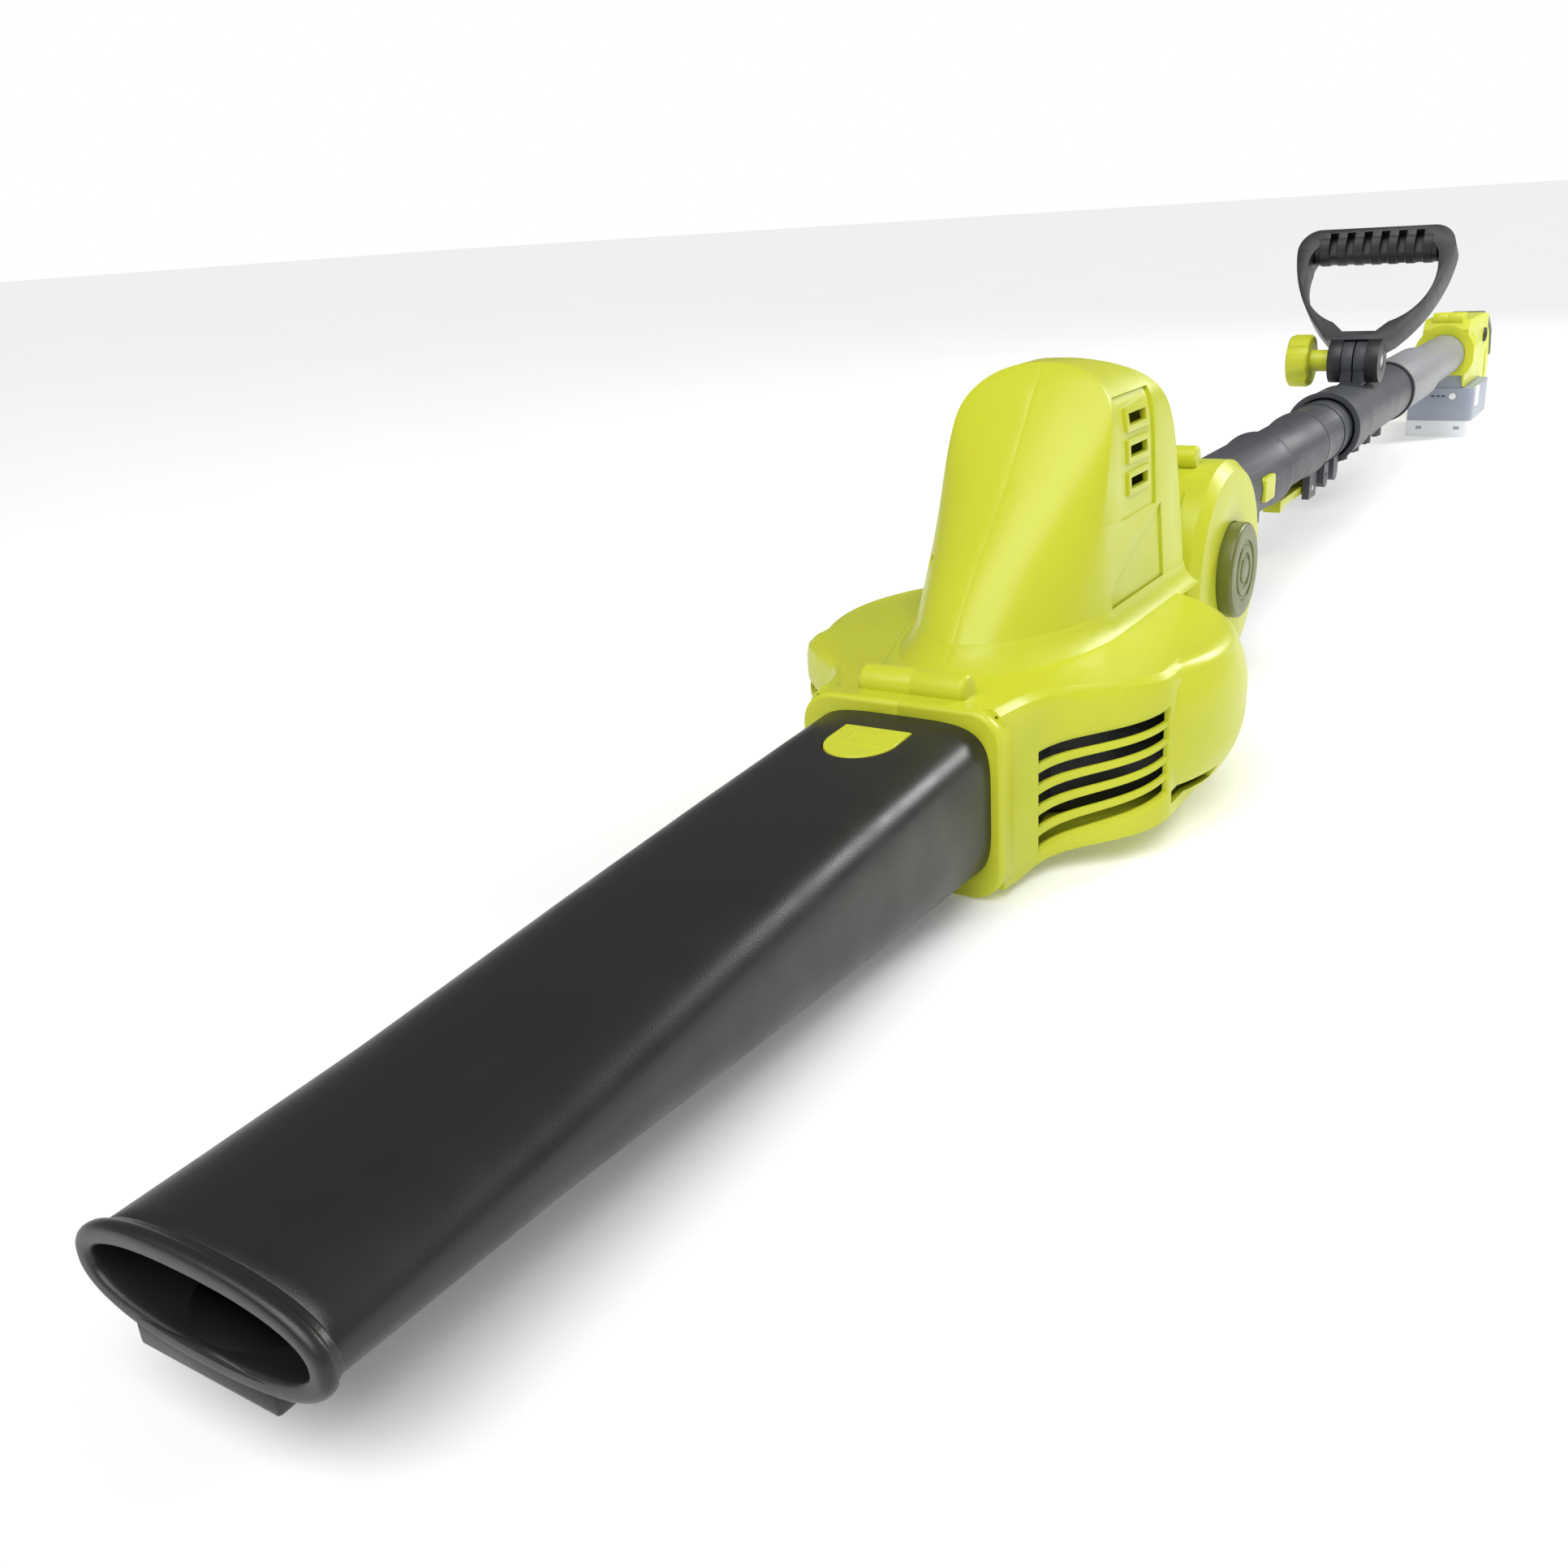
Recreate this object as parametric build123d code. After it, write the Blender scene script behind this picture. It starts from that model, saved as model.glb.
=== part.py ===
from build123d import *
import os
from math import cos, pi, radians, sin

# Cordless pole-mounted leaf blower. Millimetres.
# +Z is up, the nozzle points along -Y, the rear handle is at +Y, and X = 0 is the mid-plane.
# The origin is under the middle of the whole length, on the surface that the blower rests on:
# it stands on the fan's intake grille and on the battery's base.

# ---------------------------------------------------------------- driving dimensions
TOTAL_LENGTH = 2100.0
TIP_Y = -TOTAL_LENGTH / 2
REAR_Y = TOTAL_LENGTH / 2
POLE_Z = 100.0              # height of the pole's axis

# nozzle
NOZZLE_ROOT_Y = TIP_Y + 398.0
NOZZLE_Z = 49.0
NOZZLE_WALL = 2.5
NOZZLE_INSERT = 38.0        # length held inside the housing's collar
ROOT_SECTION = (94.0, 78.0, 4.6)     # width, height and squareness of the superellipse
MID_SECTION = (96.5, 58.0, 3.2)
LIP_SECTION = (100.0, 34.0, 2.3)
INSERT_SECTION = (91.5, 75.5, 4.6)
SECTION_POINTS = 28
LIP_RIM = 2.6               # how far the lip's rim stands out
LIP_RIM_LENGTH = 7.0
FOOT = (60.0, 24.0, 3.0)    # tab under the lip: width, length, drop

# fan housing
FAN_Y = -504.0
VOLUTE_R = 117.0
VOLUTE_TOP = 94.0
VOLUTE_BOTTOM = 14.0
SHELL = 3.0
COLLAR_SECTION = (105.0, 94.0, 17.0)
COLLAR_Z = 47.5
COLLAR_LENGTH = 14.0
DUCT_FLARE = ((50.5, -645.0), (53.0, -626.0), (59.5, -609.0), (74.0, -595.0), (101.6, -562.0))   # X and Y
DUCT_EDGE = ((86.0, 0.0), (91.0, 1.4), (94.0, 5.0))     # height and inset of the duct's rounded top edge
DUCT_BOTTOM = 5.0           # at the collar; it rises to DUCT_RISE where the duct meets the volute
DUCT_RISE = 19.0
INTAKE_R = 88.0
INTAKE_HOLE_R = 78.0
GRILLE_THICKNESS = 3.0
GRILLE_SLOTS = 20
RING_NOTCHES = 10
INLET_R = 58.0              # eye of the fan scroll
LOUVRE_COUNT = 5
LOUVRE_FRONT = (-617.0, 18.0, 10.9)     # Y, middle height of the lowest louvre, and pitch
LOUVRE_REAR = (-564.0, 36.5, 9.1)
LOUVRE_H = 6.2

# motor tower: height, front of the nose, where the nose meets the sides, rear
TOWER_SECTIONS = (
    (90.0, -607.0, -517.0, -388.0),
    (112.0, -588.0, -506.0, -388.0),
    (134.0, -568.0, -500.0, -388.0),
    (156.0, -545.0, -497.0, -388.0),
    (180.0, -521.0, -494.0, -388.0),
    (206.0, -499.0, -487.0, -388.0),
    (232.0, -474.0, -468.0, -388.0),
)
TOWER_HALF_WIDTH = 50.0
TOWER_ARCH = ((50.0, 70.0), (49.6, 110.0), (47.5, 140.0), (46.0, 170.0), (44.6, 194.0), (41.0, 209.0),
              (30.5, 220.5), (15.0, 226.8), (0.0, 228.0))      # X and Z, seen from the front
TOWER_BACK = ((-468.0, 232.0), (-440.0, 222.5), (-418.0, 211.0), (-403.0, 193.0), (-395.0, 168.0),
              (-390.0, 130.0), (-388.0, 70.0))                 # Y and Z, seen from the side
TOWER_FOOT = ((92.0, 7.5), (96.0, 4.0), (100.0, 1.6), (106.0, 0.0))   # height and flare at the tower's foot
NOSE_POINTS = 9
RECESS = 1.3                # depth of the panels in the tower's sides
VENT_COUNT = 3
VENT_PITCH = 16.5
VENT_TOP_Z = 198.0
VENT_Y = -457.0
VENT_SIZE = (30.0, 26.0, 6.0)
VENT_FRAME = 3.2

# scroll, fan and motor
SCROLL_R = 88.0
SCROLL_WALL = 2.5
SCROLL_TOP = 88.0
SCROLL_BOTTOM = 20.0
SCROLL_SPLIT = 52.0
SCROLL_DUCT = (92.0, 13.6, 24.5, 86.0)     # width, front bottom, rear bottom, top
FAN_R = 74.0
FAN_BLADES = 11
SHAFT_R = 2.5
RUNNING_GAP = 0.05
SLIDING_GAP = 0.08
MOTOR_R = 24.0
MOTOR_BOTTOM = 94.0
MOTOR_TOP = 160.0
MOUNT_R = 42.0

# head pivot
PIVOT_Y = -304.0
PIVOT_Z = 82.0
DRUM_R = 68.0
DRUM_HALF_WIDTH = 54.0
HUB_R = 48.0
HUB_HALF_WIDTH = 24.0
SLOT_HALF_WIDTH = 25.5
TONGUE_BELOW = 22.0
TONGUE_ABOVE = 28.0
AXLE_R = 6.0
AXLE_END = DRUM_HALF_WIDTH - 6
LOCK_BUTTON_R = 30.0
LUG_R = 7.0                 # bar across the top of the drum
LUG_HALF_WIDTH = 35.0

# pole
ADAPTER_FRONT_Y = -234.0
ADAPTER_REAR_Y = -53.0
ADAPTER_R = 28.5
SPIGOT_LENGTH = 120.0
INNER_TUBE_R = 17.0
INNER_TUBE_REAR_Y = 470.0
INNER_TUBE_WALL = 1.5
COLLAR2_Y = 66.0
CLAMP_FRONT_Y = 165.0
CLAMP_REAR_Y = 428.0
CLAMP_R = 31.5
MAIN_TUBE_R = 24.0
MAIN_TUBE_WALL = 1.8
SLEEVE_R = 29.0
SLEEVE_REAR_Y = 592.0
ENTRY_Y = 786.0
LEVER_PIN = (82.0, 63.0)    # Y and Z of the flip lock's pin
LEVER_LENGTH = 78.0
CLAMP_SCREWS_Y = (250.0, 300.0, 352.0, 402.0)

# front D-handle
D_PIVOT = (287.0, 147.0)    # Y and Z
D_TILT = 30.0               # degrees back from upright
D_HEIGHT = 127.0            # pivot to the top of the grip
D_HALF_WIDTH = 72.0
D_GRIP_R = 14.0
KNUCKLE_R = 20.4
KNUCKLE_END = 23.0
EAR_WIDTH = 10.0            # each of the clamp's two ears
EAR_SLIT = 1.6
KNOB = (24.5, -61.0, -41.0)     # radius, outer end, inner end
D_BOLT_R = 4.0

# rear handle and battery
HANDLE_HALF_WIDTH = 26.0
ARM_HALF_WIDTH = 17.0
BATTERY_FRONT_Y = 791.0
BATTERY_REAR_Y = 910.0
BATTERY_HALF_WIDTH = 38.0
BATTERY_BASE_H = 20.0
BATTERY_TOP = 60.0
BATTERY_BLOCK = (23.0, 75.0, 870.0)     # half width, top and rear end of the sliding block
RAIL_Z = 61.0               # underside of the handle's rails
SCREW_R = 1.5
SCREW_HEAD_R = 3.2
SCREW_HEAD_H = 2.5


# ---------------------------------------------------------------- small shape helpers
def box(x0, x1, y0, y1, z0, z1):
    return Pos((x0 + x1) / 2, (y0 + y1) / 2, (z0 + z1) / 2) * Box(x1 - x0, y1 - y0, z1 - z0)


def cyl_x(r, x0, x1, y, z):
    return Pos((x0 + x1) / 2, y, z) * Rot(0, 90, 0) * Cylinder(r, x1 - x0)


def cyl_y(r, y0, y1, z=POLE_Z, x=0.0):
    return Pos(x, (y0 + y1) / 2, z) * Rot(90, 0, 0) * Cylinder(r, y1 - y0)


def cyl_z(r, z0, z1, x=0.0, y=FAN_Y):
    return Pos(x, y, (z0 + z1) / 2) * Cylinder(r, z1 - z0)


def tube_y(r_out, r_in, y0, y1, z=POLE_Z):
    return cyl_y(r_out, y0, y1, z) - cyl_y(r_in, y0 - 1, y1 + 1, z)


def side_prism(points, half_width):
    """A prism across X from an outline of (Y, Z) points."""
    return extrude(Plane.YZ * Polygon(*points, align=None), half_width, both=True)


def section_y(size, y, z, grow=0.0):
    """A rounded rectangle that faces along Y: size is width, height and corner radius."""
    plane = Plane(origin=(0, y, z), x_dir=(1, 0, 0), z_dir=(0, -1, 0))
    width, height, corner = size
    return plane * RectangleRounded(width + 2 * grow, height + 2 * grow, max(corner + grow, 1.0))


def super_section(size, y, z, grow=0.0):
    """A superellipse that faces along Y: size is width, height and squareness."""
    width, height, squareness = size
    a, b = width / 2 + grow, height / 2 + grow
    points = []
    for i in range(SECTION_POINTS):
        t = radians(360 * (i + 0.5) / SECTION_POINTS)
        c, d = cos(t), sin(t)
        reach = (abs(c) ** squareness + abs(d) ** squareness) ** (-1 / squareness)
        points.append((a * reach * c, b * reach * d))
    plane = Plane(origin=(0, y, z), x_dir=(1, 0, 0), z_dir=(0, -1, 0))
    return plane * make_face(Spline(*points, periodic=True))


def half(solid, side):
    """The half of a shell on one side of the mid-plane; side is -1 or +1."""
    big = TOTAL_LENGTH * 2
    return solid & box(min(0, side * big), max(0, side * big), -big, big, -big, big)


def screw_x(y, z, reach=12.0, head=SCREW_HEAD_R):
    return cyl_x(SCREW_R, SCREW_HEAD_H - reach, reach, y, z) + cyl_x(head, -reach, SCREW_HEAD_H - reach, y, z)


def screw_access(y, z, reach=12.0, head=SCREW_HEAD_R):
    """The well that leads to a screw's head from the left side."""
    return cyl_x(head + 0.4, -90, -reach, y, z)


# ---------------------------------------------------------------- fan housing
HOUSING_SCREWS = ((-430.0, 196.0), (-402.0, 120.0), (-543.0, 134.0), (-399.0, 62.0),
                  (-334.0, 137.0), (-352.0, 46.0))


def nose_section(z, front, edge, rear, grow=0.0):
    """The tower's plan at one height: a round nose in front of straight sides."""
    half_width, depth = TOWER_HALF_WIDTH + grow, edge - front + grow
    turns = [pi * i / (NOSE_POINTS - 1) for i in range(NOSE_POINTS)]
    nose = [(half_width * cos(t), edge - depth * sin(t) ** 1.25) for t in turns]
    back = rear + grow
    left, right = (-half_width, back), (half_width, back)
    lines = [Spline(*nose), Line(nose[-1], left), Line(left, right), Line(right, nose[0])]
    return Plane.XY.offset(z) * make_face(lines)


def tower_arch(inset=0.0):
    """The tower's outline from the front, as a long prism."""
    side = [(x - inset if x else 0.0, z - inset) for x, z in TOWER_ARCH]
    face = make_face([Spline(*side), Line(side[-1], (0, side[0][1])), Line((0, side[0][1]), side[0])])
    whole = face + mirror(face, Plane.YZ)
    return Pos(0, FAN_Y, 0) * extrude(Plane.XZ * whole, 150, both=True)


def tower_back(inset=0.0):
    """The tower's outline from the side, as a prism."""
    curve = [(y - inset, z - inset) for y, z in TOWER_BACK]
    (top_y, top_z), (low_y, low_z) = curve[0], curve[-1]
    lines = [Spline(*curve), Line((low_y, low_z), (-700, low_z)), Line((-700, low_z), (-700, top_z)),
             Line((-700, top_z), (top_y, top_z))]
    return extrude(Plane.YZ * make_face(lines), 100, both=True)


def tower(inset=0.0):
    drop = inset + 0.5 if inset else 0.0
    body = loft([nose_section(z - drop, *rest, grow=-inset) for z, *rest in TOWER_SECTIONS])
    return body & tower_arch(inset) & tower_back(inset)


def tower_foot():
    """The concave fillet between the tower and the volute's top."""
    first, second = TOWER_SECTIONS[:2]
    rings = []
    for z, flare in TOWER_FOOT:
        share = (z - first[0]) / (second[0] - first[0])
        front, edge, rear = (a + (b - a) * share for a, b in zip(first[1:], second[1:]))
        rings.append(nose_section(z, front, edge, rear, grow=flare))
    return loft(rings)


def tower_panels(side):
    """The shallow panels in one side of the tower, with the vents' frames left standing."""
    skin = tower() - tower(RECESS)
    x0, x1 = sorted((side * 30, side * 70))
    column = box(x0, x1, -486, -432, 148, 211)
    _, length, height = VENT_SIZE
    reach, rise = length / 2 + VENT_FRAME, height / 2 + VENT_FRAME
    for i in range(VENT_COUNT):
        z = VENT_TOP_Z - i * VENT_PITCH
        column = column - box(x0, x1, VENT_Y - reach, VENT_Y + reach, z - rise, z + rise)
    low = side_prism([(-499, 119), (-424, 147), (-424, 99), (-510, 99)], 70)
    low = low & box(x0, x1, -700, -300, 60, 300)
    return skin & (column + low)


def volute_profile(inset=0.0):
    rim, side, foot = VOLUTE_R - 15, VOLUTE_R - inset, VOLUTE_R - 19
    low, high = VOLUTE_BOTTOM + inset, VOLUTE_TOP - inset
    profile = [
        Line((0, low), (foot, low)),
        ThreePointArc((foot, low), (side - 5, 32 + inset / 2), (side, 58)),
        ThreePointArc((side, 58), (side - 0.8, 73), (side - 6, high - 7)),
        ThreePointArc((side - 6, high - 7), (side - 9.5, high - 2), (rim, high)),
        Line((rim, high), (0, high)),
        Line((0, high), (0, low)),
    ]
    return make_face(profile)


def volute(inset=0.0):
    return Pos(0, FAN_Y, 0) * revolve(Plane.XZ * volute_profile(inset), Axis.Z)


def duct_plan(inset=0.0):
    side = [(x - inset, y) for x, y in DUCT_FLARE]
    (x0, y0), (x1, y1) = side[0], side[-1]
    face = make_face([Spline(*side), Line((x1, y1), (x1, FAN_Y)), Line((x1, FAN_Y), (0, FAN_Y)),
                      Line((0, FAN_Y), (0, y0)), Line((0, y0), (x0, y0))])
    return face + mirror(face, Plane.YZ)


def duct(inset=0.0):
    if inset:
        body = extrude(duct_plan(inset), VOLUTE_TOP - inset, dir=(0, 0, 1))
    else:
        body = extrude(duct_plan(), DUCT_EDGE[0][0], dir=(0, 0, 1))
        body = body + loft([Plane.XY.offset(z) * duct_plan(step) for z, step in DUCT_EDGE], ruled=True)
    y0, y1 = DUCT_FLARE[0][1], DUCT_FLARE[-1][1]
    low, high = DUCT_BOTTOM + inset, DUCT_RISE + inset
    side = side_prism([(y0 - 1, low), (y0 + 14, low), (y1, high), (FAN_Y + 1, high), (FAN_Y + 1, VOLUTE_TOP),
                       (y0 - 1, VOLUTE_TOP)], 2 * VOLUTE_R)
    return body & side


def louvre_slope(low, high):
    """The (Y, Z) outline round all the louvres, grown by low below the first and by high above the last."""
    (y0, z0, pitch0), (y1, z1, pitch1) = LOUVRE_FRONT, LOUVRE_REAR
    last = LOUVRE_COUNT - 1
    return [(y0, z0 - low), (y1, z1 - low), (y1, z1 + last * pitch1 + high), (y0, z0 + last * pitch0 + high)]


def louvres(side):
    """The sloping slots through one flared side wall, in a shallow recess."""
    (y0, z0, pitch0), (y1, z1, pitch1) = LOUVRE_FRONT, LOUVRE_REAR
    x0, x1 = sorted((side * 20, side * 130))
    zone = box(x0, x1, -700, -500, 0, 100)
    rise = LOUVRE_H / 2
    through = extrude(duct_plan(-12) - duct_plan(10), VOLUTE_TOP, dir=(0, 0, 1))
    cuts = extrude(duct_plan(-12) - duct_plan(1.0), VOLUTE_TOP, dir=(0, 0, 1))
    cuts = cuts & side_prism(louvre_slope(rise + 1.5, rise + 1.5), 200)
    for i in range(LOUVRE_COUNT):
        za, zb = z0 + i * pitch0, z1 + i * pitch1
        outline = [(y0, za - rise), (y1, zb - rise), (y1, zb + rise), (y0, za + rise)]
        cuts = cuts + (through & side_prism(outline, 200))
    return cuts & zone


def side_slot(side):
    """The long low slot in the volute behind the louvres."""
    x0, x1 = sorted((side * 80, side * 130))
    return box(x0, x1, -560, -516, 25, 32) - cyl_z(VOLUTE_R - 14, 0, 100)


def tower_vents(side):
    length_x, length_y, height = VENT_SIZE
    slots = [Pos(side * 45, VENT_Y, VENT_TOP_Z - i * VENT_PITCH) * Box(length_x, length_y, height)
             for i in range(VENT_COUNT)]
    return Compound(slots)


def drum_slot():
    """The room that the adapter's hub and tongue need over the head's whole travel."""
    hub = cyl_x(HUB_R + 1, -SLOT_HALF_WIDTH, SLOT_HALF_WIDTH, PIVOT_Y, PIVOT_Z)
    far = DRUM_R + 20
    tongue = box(-SLOT_HALF_WIDTH, SLOT_HALF_WIDTH, PIVOT_Y - TONGUE_BELOW - 2, PIVOT_Y + far,
                 PIVOT_Z - far, PIVOT_Z + TONGUE_ABOVE + 2)
    return hub + tongue


def drum_voids():
    """The hollows inside the drum's two cheeks and its front wall."""
    floor = DRUM_HALF_WIDTH - 9
    inner = cyl_x(DRUM_R - 6, 29, floor, PIVOT_Y, PIVOT_Z) - cyl_x(20, 28, floor + 1, PIVOT_Y, PIVOT_Z)
    rim = cyl_x(DRUM_R - 9, floor - 1, floor + 5, PIVOT_Y, PIVOT_Z)
    rim = rim - cyl_x(LOCK_BUTTON_R + 4, floor - 2, floor + 6, PIVOT_Y, PIVOT_Z)
    cheek = inner + rim
    front = cyl_x(DRUM_R - 3, -22, 22, PIVOT_Y, PIVOT_Z) - cyl_x(HUB_R + 4, -23, 23, PIVOT_Y, PIVOT_Z)
    front = front & box(-30, 30, PIVOT_Y - 80, PIVOT_Y - TONGUE_BELOW - 6, 0, 200)
    neck = box(-33, 33, -405, PIVOT_Y - 62, 32, PIVOT_Z + 52)
    return cheek + mirror(cheek, Plane.YZ) + front + (neck - cyl_x(DRUM_R - 3, -40, 40, PIVOT_Y, PIVOT_Z))


def drum():
    body = chamfer(cyl_x(DRUM_R, -DRUM_HALF_WIDTH, DRUM_HALF_WIDTH, PIVOT_Y, PIVOT_Z).edges(), 6)
    neck = box(-36, 36, -412, PIVOT_Y - 30, 28, PIVOT_Z + 56)
    lug = cyl_x(LUG_R, -LUG_HALF_WIDTH, LUG_HALF_WIDTH, PIVOT_Y - 14, PIVOT_Z + DRUM_R + 4)
    return body + neck + fillet(lug.edges(), 2)


def housing_outer():
    collar = extrude(section_y(COLLAR_SECTION, NOZZLE_ROOT_Y + COLLAR_LENGTH, COLLAR_Z), COLLAR_LENGTH)
    collar = fillet(collar.edges().group_by(Axis.Y)[0] + collar.edges().group_by(Axis.Y)[-1], 2.5)
    bosses = cyl_x(8, -28, 28, NOZZLE_ROOT_Y + 20, VOLUTE_TOP + 3)
    bosses = fillet(bosses.edges(), 3)
    return tower() + tower_foot() + volute() + duct() + drum() + collar + bosses


def housing_cavity():
    fan_room = volute(SHELL)
    mouth = extrude(super_section(INSERT_SECTION, NOZZLE_ROOT_Y + NOZZLE_INSERT + 1, NOZZLE_Z, 0.4), 70)
    intake = cyl_z(INTAKE_HOLE_R, 0, 30)
    below = cyl_z(INTAKE_R + 0.3, -5, VOLUTE_BOTTOM)
    return fan_room + duct(SHELL) + tower(SHELL) + mouth + intake + below


def housing():
    outer = housing_outer()
    shell = outer - housing_cavity()
    for y, z in HOUSING_SCREWS:
        shell = shell + (cyl_x(5.5, -60, 60, y, z) & outer)
    shell = shell - drum_slot()
    shell = shell - drum_voids()
    shell = shell - cyl_x(AXLE_R, -AXLE_END, AXLE_END, PIVOT_Y, PIVOT_Z)
    shell = shell - cyl_x(LOCK_BUTTON_R + 0.5, AXLE_END, DRUM_HALF_WIDTH + 9, PIVOT_Y, PIVOT_Z)
    shell = shell - cyl_x(16, -DRUM_HALF_WIDTH - 9, -AXLE_END, PIVOT_Y, PIVOT_Z)
    for side in (-1, 1):
        shell = shell - louvres(side) - side_slot(side) - tower_vents(side) - tower_panels(side)
    for y, z in HOUSING_SCREWS:
        shell = shell - screw_x(y, z) - screw_access(y, z)
    return shell


def intake_grille():
    """The flat disc under the fan, with radial slots and a bridging ring."""
    body = cyl_z(INTAKE_R, 0, GRILLE_THICKNESS)
    for i in range(GRILLE_SLOTS):
        slot = Pos(52, 0, 0) * Box(54, 7, 20)
        body = body - Pos(0, FAN_Y, 0) * Rot(0, 0, i * 360 / GRILLE_SLOTS) * slot
    return body + (cyl_z(54, 0, GRILLE_THICKNESS) - cyl_z(50, -1, GRILLE_THICKNESS + 1))


def intake_ring():
    """The wall that carries the grille, with notches round its outside."""
    body = cyl_z(INTAKE_R, GRILLE_THICKNESS, VOLUTE_BOTTOM) - cyl_z(INTAKE_R - 4, 0, VOLUTE_BOTTOM + 1)
    for i in range(RING_NOTCHES):
        notch = Pos(INTAKE_R, 0, 0) * Box(4, 9, 5)
        body = body - Pos(0, FAN_Y, 8) * Rot(0, 0, i * 360 / RING_NOTCHES + 9) * notch
    return body


# ---------------------------------------------------------------- scroll, fan and motor
def scroll():
    width, low, rear_low, high = SCROLL_DUCT
    front = NOZZLE_ROOT_Y + NOZZLE_INSERT + 3
    step = FAN_Y - 62
    outer = cyl_z(SCROLL_R, SCROLL_BOTTOM, SCROLL_TOP)
    outer = outer + side_prism([(front, low), (step, rear_low), (FAN_Y, rear_low), (FAN_Y, high),
                                (front, high)], width / 2)
    inner = cyl_z(SCROLL_R - SCROLL_WALL, SCROLL_BOTTOM + SCROLL_WALL, SCROLL_TOP - SCROLL_WALL)
    w = SCROLL_WALL
    inner = inner + side_prism([(front - 1, low + w), (step, rear_low + w), (FAN_Y, rear_low + w),
                                (FAN_Y, high - w), (front - 1, high - w)], width / 2 - w)
    body = outer - inner - cyl_z(INLET_R, 0, SCROLL_BOTTOM + 10)
    return body - cyl_z(12, SCROLL_TOP - 10, SCROLL_TOP + 10)


def scroll_parts():
    whole = scroll()
    return {
        "scroll_lower": whole & box(-200, 200, -800, 0, 0, SCROLL_SPLIT),
        "scroll_upper": whole & box(-200, 200, -800, 0, SCROLL_SPLIT, 200),
    }


def impeller():
    hub = cyl_z(9, 58, 80.5)
    plate = cyl_z(FAN_R, 78, 80.5)
    blade = Pos(0, FAN_Y, 56) * Pos(53, 0, 0) * Rot(0, 0, 28) * Box(46, 2, 44)
    blade = blade & cyl_z(FAN_R, 30, 78)
    fan = hub + plate
    for i in range(FAN_BLADES):
        spoke = Pos(0, FAN_Y, 0) * Rot(0, 0, i * 360 / FAN_BLADES) * Pos(0, -FAN_Y, 0) * blade
        fan = fan + spoke
    return fan - cyl_z(SHAFT_R, 50, 90)


def hex_nut(across, z0, z1, bore):
    prism = extrude(RegularPolygon(across / 2, 6, major_radius=False), z1 - z0)
    return Pos(0, FAN_Y, z0) * prism - cyl_z(bore, z0 - 1, z1 + 1)


def motor_parts():
    mount = cyl_z(MOUNT_R, 90, MOTOR_BOTTOM) - cyl_z(9, 80, 100)
    can = cyl_z(MOTOR_R, MOTOR_BOTTOM, MOTOR_TOP) - cyl_z(MOTOR_R - 2, MOTOR_BOTTOM + 2, MOTOR_TOP + 1)
    can = can - cyl_z(8, 90, 100)
    end = cyl_z(MOTOR_R, MOTOR_TOP, MOTOR_TOP + 6) - cyl_z(6, 150, 170)
    lower = cyl_z(8, MOTOR_BOTTOM, MOTOR_BOTTOM + 5) - cyl_z(SHAFT_R + RUNNING_GAP, 90, 110)
    upper = cyl_z(6, MOTOR_TOP, MOTOR_TOP + 6) - cyl_z(SHAFT_R + RUNNING_GAP, 150, 170)
    ring = cyl_z(MOTOR_R - 2, 102, 152) - cyl_z(18.5, 100, 155)
    magnets = ring - box(-40, 40, FAN_Y - 5, FAN_Y + 5, 100, 155)
    core = cyl_z(17.8, 104, 150) - cyl_z(SHAFT_R, 90, 160)
    for i in range(5):
        core = core - Pos(0, FAN_Y, 127) * Rot(0, 0, i * 72) * Pos(14, 0, 0) * Box(9, 3, 60)
    commutator = cyl_z(6, 152, 158) - cyl_z(SHAFT_R, 150, 160)
    return {
        "motor_mount": mount,
        "motor_can": can,
        "motor_end_cap": end,
        "motor_bearing_lower": lower,
        "motor_bearing_upper": upper,
        "motor_magnets": magnets,
        "armature_core": core,
        "commutator": commutator,
        "motor_shaft": cyl_z(SHAFT_R, 50, 168),
        "impeller": impeller(),
        "impeller_nut": hex_nut(10, 52, 58, SHAFT_R),
    }


# ---------------------------------------------------------------- nozzle
def nozzle_loft(shrink, past_tip=0.0):
    sections = [
        super_section(ROOT_SECTION, NOZZLE_ROOT_Y, NOZZLE_Z, -shrink),
        super_section(MID_SECTION, NOZZLE_ROOT_Y - 200, NOZZLE_Z, -shrink),
        super_section(LIP_SECTION, TIP_Y - past_tip, NOZZLE_Z, -shrink),
    ]
    return loft(sections)


def latch_outline(gap=0.0):
    """The D-shaped button's outline: straight towards the head, round towards the tip."""
    width, straight = 17 + gap, 16.0
    y = NOZZLE_ROOT_Y - 18 + gap
    block = Pos(0, y - straight / 2) * Rectangle(2 * width, straight)
    return block + Pos(0, y - straight) * Ellipse(width, 19 + gap)


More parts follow.
